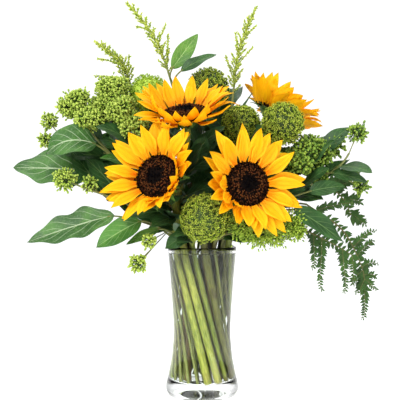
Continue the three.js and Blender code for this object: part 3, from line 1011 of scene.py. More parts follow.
class RowTree(Tree):
    """Sets copies at even steps along strands, each turned on from the last and leaning forward."""

    def __init__(self) -> None:
        """Wires the tree."""
        super().__init__(
            "copies_along_strand",
            {
                "Step": 0.003, "Spin": math.pi, "Lean": 1.0, "Stray": 0.2, "Foot": 0.004, "End": 0.002,
                "Facing": "Vector", "Copy": "Object", "Seed": 1, "Material": "Material",
            },
        )
        given = self.given
        curve = self.out("GeometryNodeMeshToCurve", {0: given["Geometry"]})
        curve = self.out("GeometryNodeResampleCurve", {0: curve, 3: given["Step"]}, mode="LENGTH")
        along = self.read("tint")
        aim = self.read("lay", "FLOAT_VECTOR")
        index = self.out("GeometryNodeInputIndex", {})
        curve = self.stored(curve, "chance", self.drawn(0.0, 1.0, 2))
        rotation = self.out("FunctionNodeAlignRotationToVector", {2: aim}, axis="Z")
        sockets = {0: rotation, 2: given["Facing"]}
        rotation = self.out("FunctionNodeAlignRotationToVector", sockets, axis="X", pivot_axis="Z")
        rotation = self.spun(rotation, (0, 0, 1), self.times(index, given["Spin"]))
        wide = self.times(given["Stray"], 1.5)
        rotation = self.spun(rotation, (0, 0, 1), self.drawn(self.times(wide, -1.0), wide, 5))
        lean = self.sum("ADD", given["Lean"], self.drawn(self.times(wide, -1.0), wide, 6))
        rotation = self.spun(rotation, (1, 0, 0), lean)
        size = self.less(given["End"], given["Foot"])
        size = self.sum("MULTIPLY_ADD", size, along, given["Foot"])
        size = self.times(size, self.drawn(0.8, 1.2, 7))
        copy = self.add("GeometryNodeObjectInfo", {0: given["Copy"]}).outputs["Geometry"]
        sockets = {"Points": curve, "Instance": copy, "Rotation": rotation, "Scale": size}
        copies = self.out("GeometryNodeInstanceOnPoints", sockets)
        self.close(copies)


class Garden:
    """The trees and the small shapes that all the plants share."""

    def __init__(self) -> None:
        """Builds the trees and the small shapes."""
        self.stalks = StalkTree()
        self.caps = CapTree()
        self.rows = RowTree()
        self.floret = self.turned("floret", [(0.5, 0.0), (0.46, 1.1), (0.56, 1.5), (0.2, 1.75)], 6)
        self.bud = self.turned("bud", [(0.1, 0.0), (0.12, 0.55), (0.36, 0.85), (0.4, 1.25), (0.2, 1.6)], 5)
        self.seed = self.turned("seed", [(0.16, 0.0), (0.3, 0.4), (0.28, 0.8), (0.1, 1.15)], 5)
        self.leaflet = self.blade("leaflet", 0.6, 0.12)
        self.pinnule = self.blade("pinnule", 0.56, 0.06, True)
        self.tuft = self.bristles()

    def keep(self, sketch: Sketch, name: str) -> Item:
        """Makes a small shape and takes it out of the scene. Its own tint goes, so that a copy's tint counts.

        Args:
            sketch: The shape.
            name: Its name.

        Returns:
            The object.
        """
        made = sketch.object(name)
        made.data.attributes.remove(made.data.attributes["tint"])
        bpy.context.scene.collection.objects.unlink(made)
        return made

    def turned(self, name: str, rings: list[Span], sides: int) -> Item:
        """Makes a small turned shape with its foot at the origin.

        Args:
            name: Its name.
            rings: Radius and height of each ring, for a size of one.
            sides: How many sides it has.

        Returns:
            The object.
        """
        sketch = Sketch()
        tall = rings[-1][1] / MM
        profile = [(0.0, 0.0), *[(r / MM, z / MM) for r, z in rings], (0.0, tall + 0.12 / MM)]
        sketch.lathe(profile, sides, np.zeros(3), vec((0, 0, 1)))
        return self.keep(sketch, name)

    def blade(self, name: str, width: float, cup: float, turned: bool = False) -> Item:
        """Makes a small pointed blade that runs up Z and faces +Y, or +X if turned.

        Args:
            name: Its name.
            width: Its width for a length of one.
            cup: How far its edges rise.
            turned: Whether it faces +X.

        Returns:
            The object.
        """
        sketch = Sketch()
        rows = []
        for t in (0.0, 0.3, 0.62, 1.0):
            half = 0.5 * width * (0.12 + 0.88 * math.sin(math.pi * min(t + 0.08, 1.0) ** 0.8))
            bend = 0.16 * t * t
            edge = cup * half * 2 - bend
            rows.append([(-half, edge, t), (0.0, -bend, t), (half, edge, t)])
        grid = np.array(rows)[:, ::-1] / MM
        if turned:
            grid = grid[:, ::-1, [1, 0, 2]]
        sketch.sheet(grid, 0.03 / MM, 0.5)
        return self.keep(sketch, name)

    def bristles(self) -> Item:
        """Makes a tuft of three curled bristles.

        Returns:
            The object.
        """
        sketch = Sketch()
        for k in range(3):
            turn = 2 * math.pi * k / 3
            lean = level_ray(turn)
            side = vec((-math.sin(turn), math.cos(turn), 0))
            rings, lays = [], []
            for t, size in ((0.0, 0.13), (0.45, 0.13), (0.85, 0.1)):
                middle = lean * (0.1 + 0.42 * t * t) + vec((0, 0, t))
                for corner in range(3):
                    a = 2 * math.pi * corner / 3
                    rings.append(middle + size * (math.cos(a) * lean + math.sin(a) * side))
                    lays.append((0.0, t, 1.0))
            rings.append(lean * 0.7 + vec((0, 0, 0.92)))
            lays.append((0.0, 1.0, 1.0))
            faces = [(2, 1, 0)]
            for row in (0, 3):
                for c in range(3):
                    n = (c + 1) % 3
                    faces.append((row + c, row + n, row + 3 + n, row + 3 + c))
            faces += [(6, 7, 9), (7, 8, 9), (8, 6, 9)]
            sketch.put(np.array(rings) / MM, faces, np.array(lays), 0.5)
        return self.keep(sketch, "tuft")

    def stalk(self, name: str, routes: list[Array], foot: float, end: float, look: Look) -> Item:
        """Runs stalks along routes.

        Args:
            name: The object's name.
            routes: The routes, each from its foot on.
            foot: The radius at the foot.
            end: The radius at the end.
            look: The finish.

        Returns:
            The object.
        """
        sketch = Sketch()
        for route in routes:
            sketch.strand(route)
        values = {"Foot": foot * MM, "End": end * MM, "Sides": 12 if foot > 2.6 else 7, "Material": look}
        values["Uneven"] = 0.28 * foot * MM
        return self.stalks.run(name, sketch.object(name), values)

    def row(self, name: str, routes: list[Array], **values: object) -> Item:
        """Sets copies along routes. Lengths are in millimetres.

        Args:
            name: The object's name.
            routes: The routes, each from its foot on.
            values: The row tree's inputs, in small letters.

        Returns:
            The object.
        """
        sketch = Sketch()
        for route in routes:
            sketch.strand(route)
        return self.rows.run(name, sketch.object(name), self.named(values, {"step", "foot", "end"}))

    def cap(self, name: str, **values: object) -> Item:
        """Sets copies on a ball or dome. Lengths are in millimetres.

        Args:
            name: The object's name.
            values: The cap tree's inputs, in small letters.

        Returns:
            The object.
        """
        sketch = Sketch()
        sketch.strand(np.array([[0.0, 0, 0], [0, 0, 1.0]]))
        lengths = {"radius", "small", "large", "centre"}
        return self.caps.run(name, sketch.object(name), self.named(values, lengths))

    def named(self, values: dict[str, object], lengths: set[str]) -> dict[str, object]:
        """Turns named values into a tree's inputs.

        Args:
            values: The values by small letters.
            lengths: Which of them are lengths, in millimetres.

        Returns:
            The inputs by their labels.
        """
        found = {}
        for key, value in values.items():
            if key in lengths:
                value = tuple(v * MM for v in value) if isinstance(value, (tuple, Array)) else value * MM
            found[key.capitalize()] = tuple(value) if isinstance(value, Array) else value
        return found


def finished(name: str, parts: list[Item], slot: str, nodes: list[str]) -> Item:
    """Joins parts into one piece, names it, sets it on the root body and hides the frame's nodes that it
    replaces.

    Args:
        name: The piece's name.
        parts: The objects that make it up.
        slot: Not used.
        nodes: The nodes of the frame that it replaces.

    Returns:
        The piece.
    """
    piece = parts[0]
    if len(parts) > 1:
        with bpy.context.temp_override(active_object=piece, selected_editable_objects=parts):
            bpy.ops.object.join()
    piece.name = name
    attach(piece, ROOT)
    if nodes:
        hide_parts(*nodes)
    LOG.info("%s: %d faces", name, len(piece.data.polygons))
    return piece


# ---- stems


@dataclass
class StemRoute:
    """A stem's way: straight and leaning through the vase, then in one bend to its end."""

    angle: float
    radius: float
    to: Point
    heading: Point
    layer: float = 30.0
    rise: float = 0.35
    settle: float = 0.3
    lean: float = 0.245
    waist: float = 104.0
    floor: float = 19.0
    mouth: float = 203.0
    steps: int = 8

    def __post_init__(self) -> None:
        """Works out the straight part and the bend."""
        turn = math.radians(self.angle)
        outward = level_ray(turn)
        sideways = vec((outward[1], -outward[0], 0)) * self.lean
        ends = []
        for height in (self.floor + 0.3 * self.radius + 0.5, self.mouth):
            ends.append(outward * self.layer + sideways * (height - self.waist) + vec((0, 0, height)))
        self.foot, self.neck = ends
        reach = float(np.linalg.norm(vec(self.to) - self.neck))
        upward = unit(self.neck - self.foot)
        heading = unit(vec(self.heading))
        self.bend = [
            self.neck,
            self.neck + upward * self.rise * reach,
            vec(self.to) - heading * self.settle * reach,
            vec(self.to),
        ]

    def at(self, t: float) -> Array:
        """Finds a point of the stem.

        Args:
            t: The place along, 0 to 1.

        Returns:
            The point.
        """
        step = t * self.steps
        if step <= 1:
            return (1 - step) * self.foot + step * self.neck
        return bezier(self.bend, (step - 1) / (self.steps - 1))

    def route(self) -> Array:
        """Returns the whole stem's points."""
        places = [i / 60 for i in range(6)] + [0.125 + 0.875 * i / 30 for i in range(31)]
        return np.array([self.at(t) for t in places])

    def at_height(self, height: float) -> tuple[Array, Array]:
        """Finds where the stem passes a height.

        Args:
            height: The height above the floor.

        Returns:
            The point and the stem's direction there.
        """
        low, high = 0.0, 1.0
        for _ in range(30):
            middle = (low + high) / 2
            low, high = (middle, high) if self.at(middle)[2] < height else (low, middle)
        return self.at(low), unit(self.at(min(low + 0.01, 1.0)) - self.at(low - 0.01))


# ---- sunflower


CALYX_PROFILE = (
    (0.0, -22.0), (5.4, -22.0), (9.0, -19.5), (16.0, -14.5), (23.0, -9.0), (27.0, -4.6), (0.0, -4.4),
)


@dataclass
class Sunflower:
    """A sunflower head on its stem, with three rows of ray florets, a disc and green bracts."""

    side: str
    centre: Point
    faces: Point
    cup: float
    angle: float
    seed: int
    closed: tuple[float, float, float, float, float] = (0.0, 1.0, 0.0, 1.0, 0.0)
    disc_radius: float = 30.5
    ray_length: float = 46.0
    ray_width: float = 19.0
    rows: tuple[tuple[int, float, float, float], ...] = (
        (14, 9.0, 3.0, 0.88), (15, 1.0, 0.3, 0.98), (12, -6.0, -2.4, 1.0),
    )
    rays_face: Point | None = None
    stem_look: Look = Look.STEM
    stem_radius: float = 5.0
    neck_depth: float = 22.3
    dome_radius: float = 56.0
    floret_count: int = 760
    bract_rows: tuple[tuple[int, float, float, float], ...] = ((14, 24.0, -8.0, 0.0), (13, 19.0, -13.0, 26.0))
    route: StemRoute = field(init=False)

    def __post_init__(self) -> None:
        """Sets the head's directions and its stem."""
        self.middle = vec(self.centre)
        self.first, self.second, self.axis = basis(vec(self.faces))
        self.rays_basis = basis(vec(self.rays_face or self.faces))
        neck = self.middle - self.axis * self.neck_depth
        self.route = StemRoute(self.angle, self.stem_radius, tuple(neck), self.faces)
        self.draw = random.Random(self.seed)

    def petal(
        self, turn: float, cup: float, lift: float, length: float, width: float, bulge: float
    ) -> Array:
        """Shapes one ray floret.

        Args:
            turn: Its direction round the disc, in radians.
            cup: How far it rises from the plane of the disc, in degrees.
            lift: How high on the rim it starts.
            length: Its length.
            width: Its greatest width.
            bulge: How far it first leans out before it bends up, in degrees.

        Returns:
            The grid of its upper side.
        """
        draw = self.draw
        bend = draw.gauss(-0.2, 0.3) + 2 * math.radians(bulge)
        calm = 1 - min(abs(bulge) / 34, 0.8)
        hook = draw.choice((0.0, 0.0, 0.0, 0.7, -0.8)) * draw.random() * calm
        twist = draw.gauss(0, 0.28) * calm
        fold = draw.uniform(0.14, 0.34)
        skew = draw.gauss(0, 3.0) * calm
        wave, phase = draw.uniform(0.2, 0.9), draw.random() * 6
        first, second, axis = self.rays_basis
        outward = ray_at(first, second, turn)
        beside = np.cross(outward, axis)
        start = ray_at(self.first, self.second, turn)
        place = self.middle + start * (self.disc_radius - 2.0) + self.axis * (lift - 0.15 * bulge)
        slope = math.radians(cup - bulge)
        steps = 15
        rows = []
        for i in range(steps + 1):
            s = i / steps
            now = slope + bend * smooth(s) + hook * smooth((s - 0.6) / 0.4)
            ahead = outward * math.cos(now) + axis * math.sin(now)
            if i:
                place = place + ahead * length / steps
            face = np.cross(beside, ahead)
            roll = twist * s
            across = beside * math.cos(roll) + face * math.sin(roll)
            over = face * math.cos(roll) - beside * math.sin(roll)
            body = (0.42 + 0.58 * smooth(s / 0.42)) * (1 - max(s - 0.36, 0.0) ** 1.7 / 0.64**1.7) ** 0.92
            half = 0.5 * width * body + 0.15
            row = []
            for j in range(-4, 5):
                x = j / 4
                groove = 0.8 * math.cos(3 * math.pi * x) * (1 - 0.8 * s)
                raised = fold * half * abs(x) ** 1.4 + groove
                raised += wave * abs(x) ** 3 * math.sin(9 * s + phase + (2.2 if x > 0 else 0))
                row.append(place + across * half * x + over * raised + beside * skew * s * s)
            rows.append(row)
        return np.array(rows)

    def build_rays(self) -> Item:
        """Builds the three rows of ray florets.

        Returns:
            The object.
        """
        sketch = Sketch()
        for k, (count, rise, lift, share) in enumerate(self.rows):
            for i in range(count):
                turn = 2 * math.pi * (i + 0.5 * (k % 2) + self.draw.gauss(0, 0.1)) / count + 0.3 * k
                toward, reach, more, short, bulge = self.closed
                away = abs((math.degrees(turn) - toward + 180) % 360 - 180)
                shut = smooth(1.4 - away / reach)
                cup = self.cup + rise + more * shut * self.draw.uniform(0.6, 1.15) + self.draw.gauss(0, 6.0)
                length = self.ray_length * share * self.draw.uniform(0.88, 1.05) * (1 + (short - 1) * shut)
                width = self.ray_width * self.draw.uniform(0.82, 1.12) * (1 + (short - 1) * shut * 0.3)
                grid = self.petal(turn, cup, lift, length, width, bulge * shut)
                sketch.sheet(grid, 0.35, self.draw.random())
        return sketch.object(f"{self.side}_rays", Look.PETAL)

    def build_disc(self, garden: Garden) -> list[Item]:
        """Builds the disc: a near-black button, painted shade in the gaps between the florets, under a spiral
        of tiny florets.

        Args:
            garden: The shared shapes.

        Returns:
            The objects.
        """
        ball = self.dome_radius
        opening = math.asin(self.disc_radius / ball)
        heart = self.middle - self.axis * (ball - 5.2)
        button = Sketch()
        rings = [(0.0, -4.0), (self.disc_radius - 2, -4.0), (self.disc_radius - 0.5, -1.0)]
        for k in range(6):
            a = opening * (1 - k / 6)
            rings.append((ball * math.sin(a) - 0.6, ball * math.cos(a) - ball + 6.3))
        button.lathe([*rings, (0.0, 6.2)], 48, self.middle, self.axis)
        florets = garden.cap(
            f"{self.side}_florets",
            count=self.floret_count, radius=ball, opening=opening * 1.02, depth=0.012, spread=0.12,
            small=1.35, large=1.75, growth=0.25, centre=heart, turn=turn_of(self.axis),
            copy=garden.floret, seed=self.seed, material=Look.DISC,
        )
        return [button.object(f"{self.side}_button", Look.DISC_BASE), florets]

    def build_calyx(self) -> Item:
        """Builds the green cup with its pointed bracts.

        Returns:
            The object.
        """
        sketch = Sketch()
        sketch.lathe(list(CALYX_PROFILE), 32, self.middle, self.axis)
        for count, length, base, more in self.bract_rows:
            for i in range(count):
                turn = 2 * math.pi * (i + self.draw.gauss(0, 0.12)) / count + more
                slope = math.radians(self.cup - 16 + self.draw.gauss(0, 9))
                curl = self.draw.gauss(-0.5, 0.35)
                outward = ray_at(self.first, self.second, turn)
                beside = np.cross(outward, self.axis)
                place = self.middle + outward * (24.0 + 0.9 * base) + self.axis * base
                long = length * self.draw.uniform(0.85, 1.15)
                rows = []
                for k in range(8):
                    s = k / 7
                    now = slope + curl * s * s
                    ahead = outward * math.cos(now) + self.axis * math.sin(now)
                    place = place + ahead * long / 7
                    face = np.cross(beside, ahead)
                    half = 4.6 * (1 - s**1.6) * (0.75 + 0.6 * s) + 0.12
                    across = (-1, -0.5, 0, 0.5, 1)
                    rows.append([place + beside * half * x + face * 0.25 * half * x * x for x in across])
                sketch.sheet(np.array(rows), 0.5, self.draw.random())
        return sketch.object(f"{self.side}_calyx", Look.BRACT)

    def build(self, garden: Garden) -> None:
        """Builds and dresses the whole flower.

        Args:
            garden: The shared shapes.
        """
        name = f"sunflower_{self.side}"
        stem = garden.stalk(f"{name}_s", [self.route.route()], self.stem_radius, 4.8, self.stem_look)
        finished(f"{name}_green_stem", [stem], "sunflower_stem", [f"{name}_stem"])
        nodes = [f"{name}_inner_rays", f"{name}_outer_rays"]
        finished(f"{name}_ray_florets", [self.build_rays()], "ray_florets", nodes)
        finished(f"{name}_disc_florets", self.build_disc(garden), "disc_florets", [f"{name}_disc"])
        finished(f"{name}_bracts", [self.build_calyx()], "calyx", [f"{name}_calyx"])


# ---- ball dianthus


@dataclass
class Dianthus:
    """A round bloom of curled green bristles on a smooth stem."""

    side: str
    centre: Point
    radius: float
    heading: Point
    angle: float
    tufts: int = 1850
    tuft_size: Span = (2.7, 3.6)
    look: Look = Look.BALL
    stem_radius: float = 3.2

    def build(self, garden: Garden) -> None:
        """Builds and dresses the bloom and its stem.

        Args:
            garden: The shared shapes.
        """
        name = f"dianthus_{self.side}"
        low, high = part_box(f"{name}_bloom")
        middle = np.array((low + high) / 2) / MM
        radius = float(high.x - low.x) / 2 / MM
        heading = unit(vec(self.heading))
        end = middle - heading * (self.radius + DIANTHUS_GAP)
        route = StemRoute(self.angle, self.stem_radius, tuple(end), self.heading)
        stem = garden.stalk(f"{name}_s", [route.route()], self.stem_radius, 3.0, Look.LIGHT_STEM)
        finished(f"{name}_green_stem", [stem], "dianthus_stem", [f"{name}_stem"])
        core = Sketch()
        heart = radius * 0.86
        rings = [(heart * math.sin(a), -heart * math.cos(a)) for a in np.linspace(0.2, 2.94, 14)]
        core.lathe([(0.0, -heart), *rings, (0.0, heart)], 32, middle, heading)
        bristles = garden.cap(
            f"{name}_tufts",
            count=self.tufts, radius=radius * 0.97 - 0.95 * self.tuft_size[1], opening=math.pi,
            depth=0.03, lumps=0.08, spread=0.42, small=self.tuft_size[0], large=self.tuft_size[1],
            centre=middle, turn=turn_of(heading), copy=garden.tuft, seed=len(self.side), material=self.look,
        )
        # The core is near-black, painted shade inside the ball, except on the soft ball, where it takes the
        # bristles' finish.
        inner = Look.DEEP if self.look is Look.BALL else self.look
        parts = [core.object(f"{name}_core", inner), bristles]
        finished(f"{name}_bristle_ball", parts, "dianthus_bloom", [f"{name}_bloom"])


# ---- goldenrod


@dataclass
class Goldenrod:
    """A slender plume of tiny buds on a curving stem with a few sprigs."""

    side: str
    angle: float
    to: Point
    heading: Point
    spike: tuple[Point, ...]
    sprigs: tuple[tuple[float, Point], ...]
    radius: float = 2.2
    twigs: int = 46

    def build(self, garden: Garden) -> None:
        """Builds and dresses the plume.

        Args:
            garden: The shared shapes.
        """
        name = f"goldenrod_{self.side}"
        draw = random.Random(name)
        route = StemRoute(self.angle, self.radius, self.to, self.heading)
        spine = rounded(list(self.spike), SPINE_STEPS)
        twigs = []
        for place, tip in self.sprigs:
            fork = spine[int(place * SPINE_STEPS)]
            crown = (fork + vec(tip)) / 2 + vec((0, 0, 4))
            twigs.append(curved([fork, crown, vec(tip)], 8))
        for k in range(self.twigs):
            place = 0.04 + 0.88 * k / self.twigs
            fork = spine[int(place * SPINE_STEPS)]
            ahead = unit(spine[min(int(place * SPINE_STEPS) + 1, SPINE_STEPS)] - fork)
            first, second, _ = basis(ahead)
            turn = k * SPIRAL
            out = unit(ray_at(first, second, turn) + ahead * 0.7)
            long = (13 - 9 * place) * draw.uniform(0.7, 1.15)
            crown = fork + out * long * 0.6
            tip = fork + out * long + vec((0, 0, 1)) * long * 0.25
            twigs.append(curved([fork, crown, tip], 4))
        parts = [
            garden.stalk(f"{name}_s", [route.route()], self.radius, 1.6, Look.THIN_STEM),
            garden.stalk(f"{name}_k", [spine], 1.5, 0.5, Look.THIN_STEM),
            garden.stalk(f"{name}_t", twigs, 0.5, 0.25, Look.THIN_STEM),
        ]
        shared = {"spin": SPIRAL, "stray": 0.3, "lean": 0.6, "facing": (1, 0, 0)}
        shared |= {"copy": garden.seed, "material": Look.GOLDENROD}
        parts.append(garden.row(f"{name}_a", twigs, step=0.9, foot=2.4, end=3.2, seed=3, **shared))
        parts.append(garden.row(f"{name}_b", [spine[5:]], step=0.5, foot=2.8, end=3.4, seed=4, **shared))
        finished(f"{name}_plume", parts, "goldenrod", [name])


# ---- sprays


class SprayKind(Enum):
    """The three sorts of spray."""

    BUDS = "bud_spray"
    LEAFY = "leafy_spray"
    TRAILING = "trailing_spray"


@dataclass(frozen=True)
class Cover:
    """A layer of buds or leaflets over a cluster. Its radius is for a cluster of size one."""

    part: str
    copy: str
    look: Look
    least: float
    more: float
    radius: float
    opening: float
    depth: float
    lumps: float
    spread: float
    sizes: Span
    by_length: bool = False

    def values(self, garden: Garden, size: float) -> dict[str, object]:
        """Finds the layer's inputs for the cap tree.

        Args:
            garden: The shared shapes.
            size: The cluster's radius.

        Returns:
            The inputs, in small letters.
        """
        count = int(self.least + size * (1.0 if self.by_length else size) * self.more)
        small, large = (s * size if self.by_length else s for s in self.sizes)
        found = {"count": count, "radius": size * self.radius, "small": small, "large": large}
        found |= {key: getattr(self, key) for key in ("opening", "depth", "lumps", "spread")}
        return found | {"copy": getattr(garden, self.copy), "material": self.look}


COVERS = {
    SprayKind.BUDS: (Cover("b", "bud", Look.BUD, 60, 1.0, 0.86, 2.7, 0.4, 1.5, 0.6, (2.7, 4.2)),),
    SprayKind.LEAFY: (
        Cover("b", "bud", Look.DARK_BUD, 44, 0.5, 0.9, 2.7, 0.6, 1.2, 0.6, (3.2, 5.0)),
        Cover("l", "leaflet", Look.SPRIG_LEAF, 14, 1.7, 0.85, 2.9, 0.5, 1.1, 1.0, (0.45, 0.72), True),
    ),
    SprayKind.TRAILING: (Cover("b", "seed", Look.MOSS, 300, 2.4, 1.1, 3.0, 0.7, 1.3, 0.9, (2.2, 3.8)),),
}


@dataclass
class Spray:
    """A branching stem that ends in clusters of buds or small leaves."""

    name: str
    kind: SprayKind
    radius: float
    angle: float
    to: Point
    heading: Point
    clusters: tuple[tuple[float, Point, float], ...]
    layer: float = 30.0
    rise: float = 0.35
    satellites: int = 5
    least_with_satellites: float = 12

    def cluster(self, garden: Garden, fork: Array, centre: Array, size: float, seed: int) -> list:
        """Builds one cluster.

        Args:
            garden: The shared shapes.
            fork: Where its stalk leaves the stem.
            centre: The cluster's middle.
            size: The cluster's radius.
            seed: The number that its random choices start from.

        Returns:
            The objects.
        """
        outward = unit(unit(centre - fork) + vec((0, -0.35, 0.45)))
        name = f"{self.name}_{seed}"
        first, second, _ = basis(outward)
        stalks = []
        for k in range(9):
            turn = SPIRAL * k
            reach = 0.25 + 0.6 * k / 9
            tip = centre + size * reach * ray_at(first, second, turn) * 0.8
            tip = tip + outward * size * 0.45 * (1 - reach)
            bow = (fork + centre) / 2 + outward * size * 0.12
            stalks.append(curved([fork, bow, centre - outward * size * 0.3, tip], 8))
        parts = [garden.stalk(f"{name}_t", stalks, 0.75, 0.35, Look.THIN_STEM)]
        shared = {"centre": centre, "turn": turn_of(outward), "seed": seed}
        # A near-black core under the buds or leaflets: painted shade inside the cluster.
        core = Sketch()
        heart = 0.52 * size
        rings = [(heart * math.sin(a), -heart * math.cos(a)) for a in np.linspace(0.3, 2.84, 8)]
        core.lathe([(0.0, -heart), *rings, (0.0, heart)], 14, centre, outward)
        parts.append(core.object(f"{name}_c", Look.DEEP))
        for cover in COVERS[self.kind]:
            parts.append(garden.cap(f"{name}_{cover.part}", **cover.values(garden, size), **shared))
        return parts

    def build(self, garden: Garden) -> None:
        """Builds and dresses the spray.

        Args:
            garden: The shared shapes.
        """
        route = StemRoute(self.angle, self.radius, self.to, self.heading, self.layer, self.rise)
        points = [route.route()]
        parts = [garden.stalk(f"{self.name}_s", points, self.radius, self.radius * 0.7, Look.THIN_STEM)]
        seed = 0
        draw = random.Random(self.name)
        for place, centre, size in self.clusters:
            fork = route.at(place)
            parts += self.cluster(garden, fork, vec(centre), size, seed)
            seed += 1
            first, second, _ = basis(vec(centre) - fork + vec((0, -0.5, 1)))
            spread_out = size > self.least_with_satellites and self.kind is not SprayKind.TRAILING
            for k in range(self.satellites if spread_out else 0):
                turn = 2 * math.pi * (k + draw.random() * 0.5) / self.satellites
                side = ray_at(first, second, turn) + vec((0, -0.3, 0.2))
                start, end = vec(centre) - side * 2, vec(centre) + side * size * 0.85
                parts += self.cluster(garden, start, end, size * 0.55, seed)
                seed += 1
        finished(f"{self.name}_sprig", parts, self.kind.value, [self.name])


# ---- fern


@dataclass
class Fern:
    """A hanging frond: a thin rachis with toothed leaflets to each tip."""

    side: str
    angle: float
    to: Point
    heading: Point
    rachis: tuple[Point, ...]
    tips: tuple[tuple[float, Point], ...]
    layer: float = 30.0
    rise: float = 0.35
    scale: float = 1.0

    def build(self, garden: Garden) -> None:
        """Builds and dresses the frond.

        Args:
            garden: The shared shapes.
        """
        name = f"fern_{self.side}"
        route = StemRoute(self.angle, FERN_RADIUS, self.to, self.heading, self.layer, self.rise)
        spine = rounded(list(self.rachis), SPINE_STEPS)
        ribs = []
        for k, (place, tip) in enumerate(self.tips):
            fork = spine[int(place * SPINE_STEPS)]
            hook = vec((-8.0 if k % 2 else 6.0, -2.0, 3.0))
            bow = (fork + vec(tip)) / 2 + vec((0, 0, 5))
            ribs.append(curved([fork, bow, vec(tip) + hook, vec(tip)], 12))
        parts = [
            garden.stalk(f"{name}_s", [route.route()], FERN_RADIUS, 1.3, Look.RACHIS),
            garden.stalk(f"{name}_k", [spine], 1.2, 0.6, Look.RACHIS),
            garden.stalk(f"{name}_r", ribs, 0.45, 0.2, Look.RACHIS),
        ]
        shared = {"spin": math.pi, "stray": 0.2, "lean": -1.0, "facing": (0, -1, 0)}
        shared |= {"copy": garden.pinnule, "material": Look.FERN}
        foot, end = 9.2 * self.scale, 3.2 * self.scale
        parts.append(garden.row(f"{name}_p", ribs, step=1.8, foot=foot, end=end, seed=5, **shared))
        parts.append(garden.row(f"{name}_q", [spine[4:]], step=3.0, foot=9.0, end=9.0, seed=6, **shared))
        finished(f"{name}_frond", parts, "fern", [name])


# ---- leaves


@dataclass
class Leaf:
    """A single leaf on its stalk, laid along a bowed midrib."""

    name: str
    look: Look
    slot: str
    base: Point
    tip: Point
    faces: Point
    width: float
    arch: float
    host: tuple[Array, Array, float]
    lobes: float = 0.0
    fold: float = 0.16
    pairs: float = 7.0
    steps: int = 36
    half_steps: int = 6

    def half_width(self, t: float, side: int) -> float:
        """Finds the width from the midrib to one edge.

        Args:
            t: The place along the midrib, 0 to 1.
            side: 1 for the one edge, -1 for the other.

        Returns:
            The width.
        """
        plain = math.sin(math.pi * min(t, 1.0) ** 0.8) ** 0.8 if 0 < t < 1 else 0.0
        ripple = self.lobes * math.cos(6 * math.pi * t + 0.5 * side)
        return 0.5 * self.width * plain * (1 + ripple) + 0.2

    def blade(self, draw: random.Random) -> Array:
        """Shapes the leaf.

        Args:
            draw: The source of its random bends.

        Returns:
            The grid of its upper side.
        """
        base, tip, up = vec(self.base), vec(self.tip), unit(vec(self.faces))
        crest = (base + tip) / 2 + up * 2 * self.arch
        phase, wave = draw.random() * 6, draw.uniform(0.02, 0.05) * self.width
        twist = draw.gauss(0, 0.2)
        steps, half_steps = self.steps, self.half_steps
        rows = []
        for i in range(steps + 1):
            t = i / steps
            place = bezier([base, crest, tip], t)
            ahead = unit(bezier([base, crest, tip], t + 0.01) - bezier([base, crest, tip], t - 0.01))
            beside = unit(np.cross(ahead, up))
            over = np.cross(beside, ahead)
            roll = twist * (t - 0.4)
            across = beside * math.cos(roll) + over * math.sin(roll)
            over = over * math.cos(roll) - beside * math.sin(roll)
            row = []
            for j in range(-half_steps, half_steps + 1):
                x = j / half_steps
                half = self.half_width(t, 1 if x > 0 else -1)
                raised = self.fold * half * abs(x) ** 1.2
                raised += wave * abs(x) ** 2.5 * math.sin(11 * t + phase + (1.9 if x > 0 else 0))
                puff = abs(math.sin(math.pi * (t * self.pairs - 2.1 * abs(x))))
                raised += 0.012 * self.width * puff * math.sin(math.pi * min(abs(x) * 1.05, 1.0))
                row.append(place + across * half * x + over * raised)
            rows.append(row)
        return np.array(rows)

    def parts(self, garden: Garden) -> list[Item]:
        """Builds the blade and its stalk.

        Args:
            garden: The shared shapes.

        Returns:
            The objects.
        """
        sketch = Sketch()
        draw = random.Random(self.name)
        grid = self.blade(draw)
        sketch.sheet(grid, 0.6, draw.random() * 0.6)
        centre, along, radius = self.host
        base = vec(self.base)
        out = base - centre
        out = unit(out - along * float(out @ along))
        grip = grid[self.steps // 12, self.half_steps]
        ahead = unit(grip - grid[0, self.half_steps])
        stalk = [centre + out * radius * 0.8, base - ahead * 12, grip - 0.5 * ahead]
        route = curved(stalk, 10)
        stem = garden.stalk(f"{self.name}_k", [route], 1.4, 1.0, Look.THIN_STEM)
        return [sketch.object(f"{self.name}_b", self.look), stem]

    def build(self, garden: Garden) -> None:
        """Builds and dresses the leaf as a piece of its own.

        Args:
            garden: The shared shapes.
        """
        finished(f"{self.name}_blade", self.parts(garden), self.slot, [self.name])


# ---- vase and water


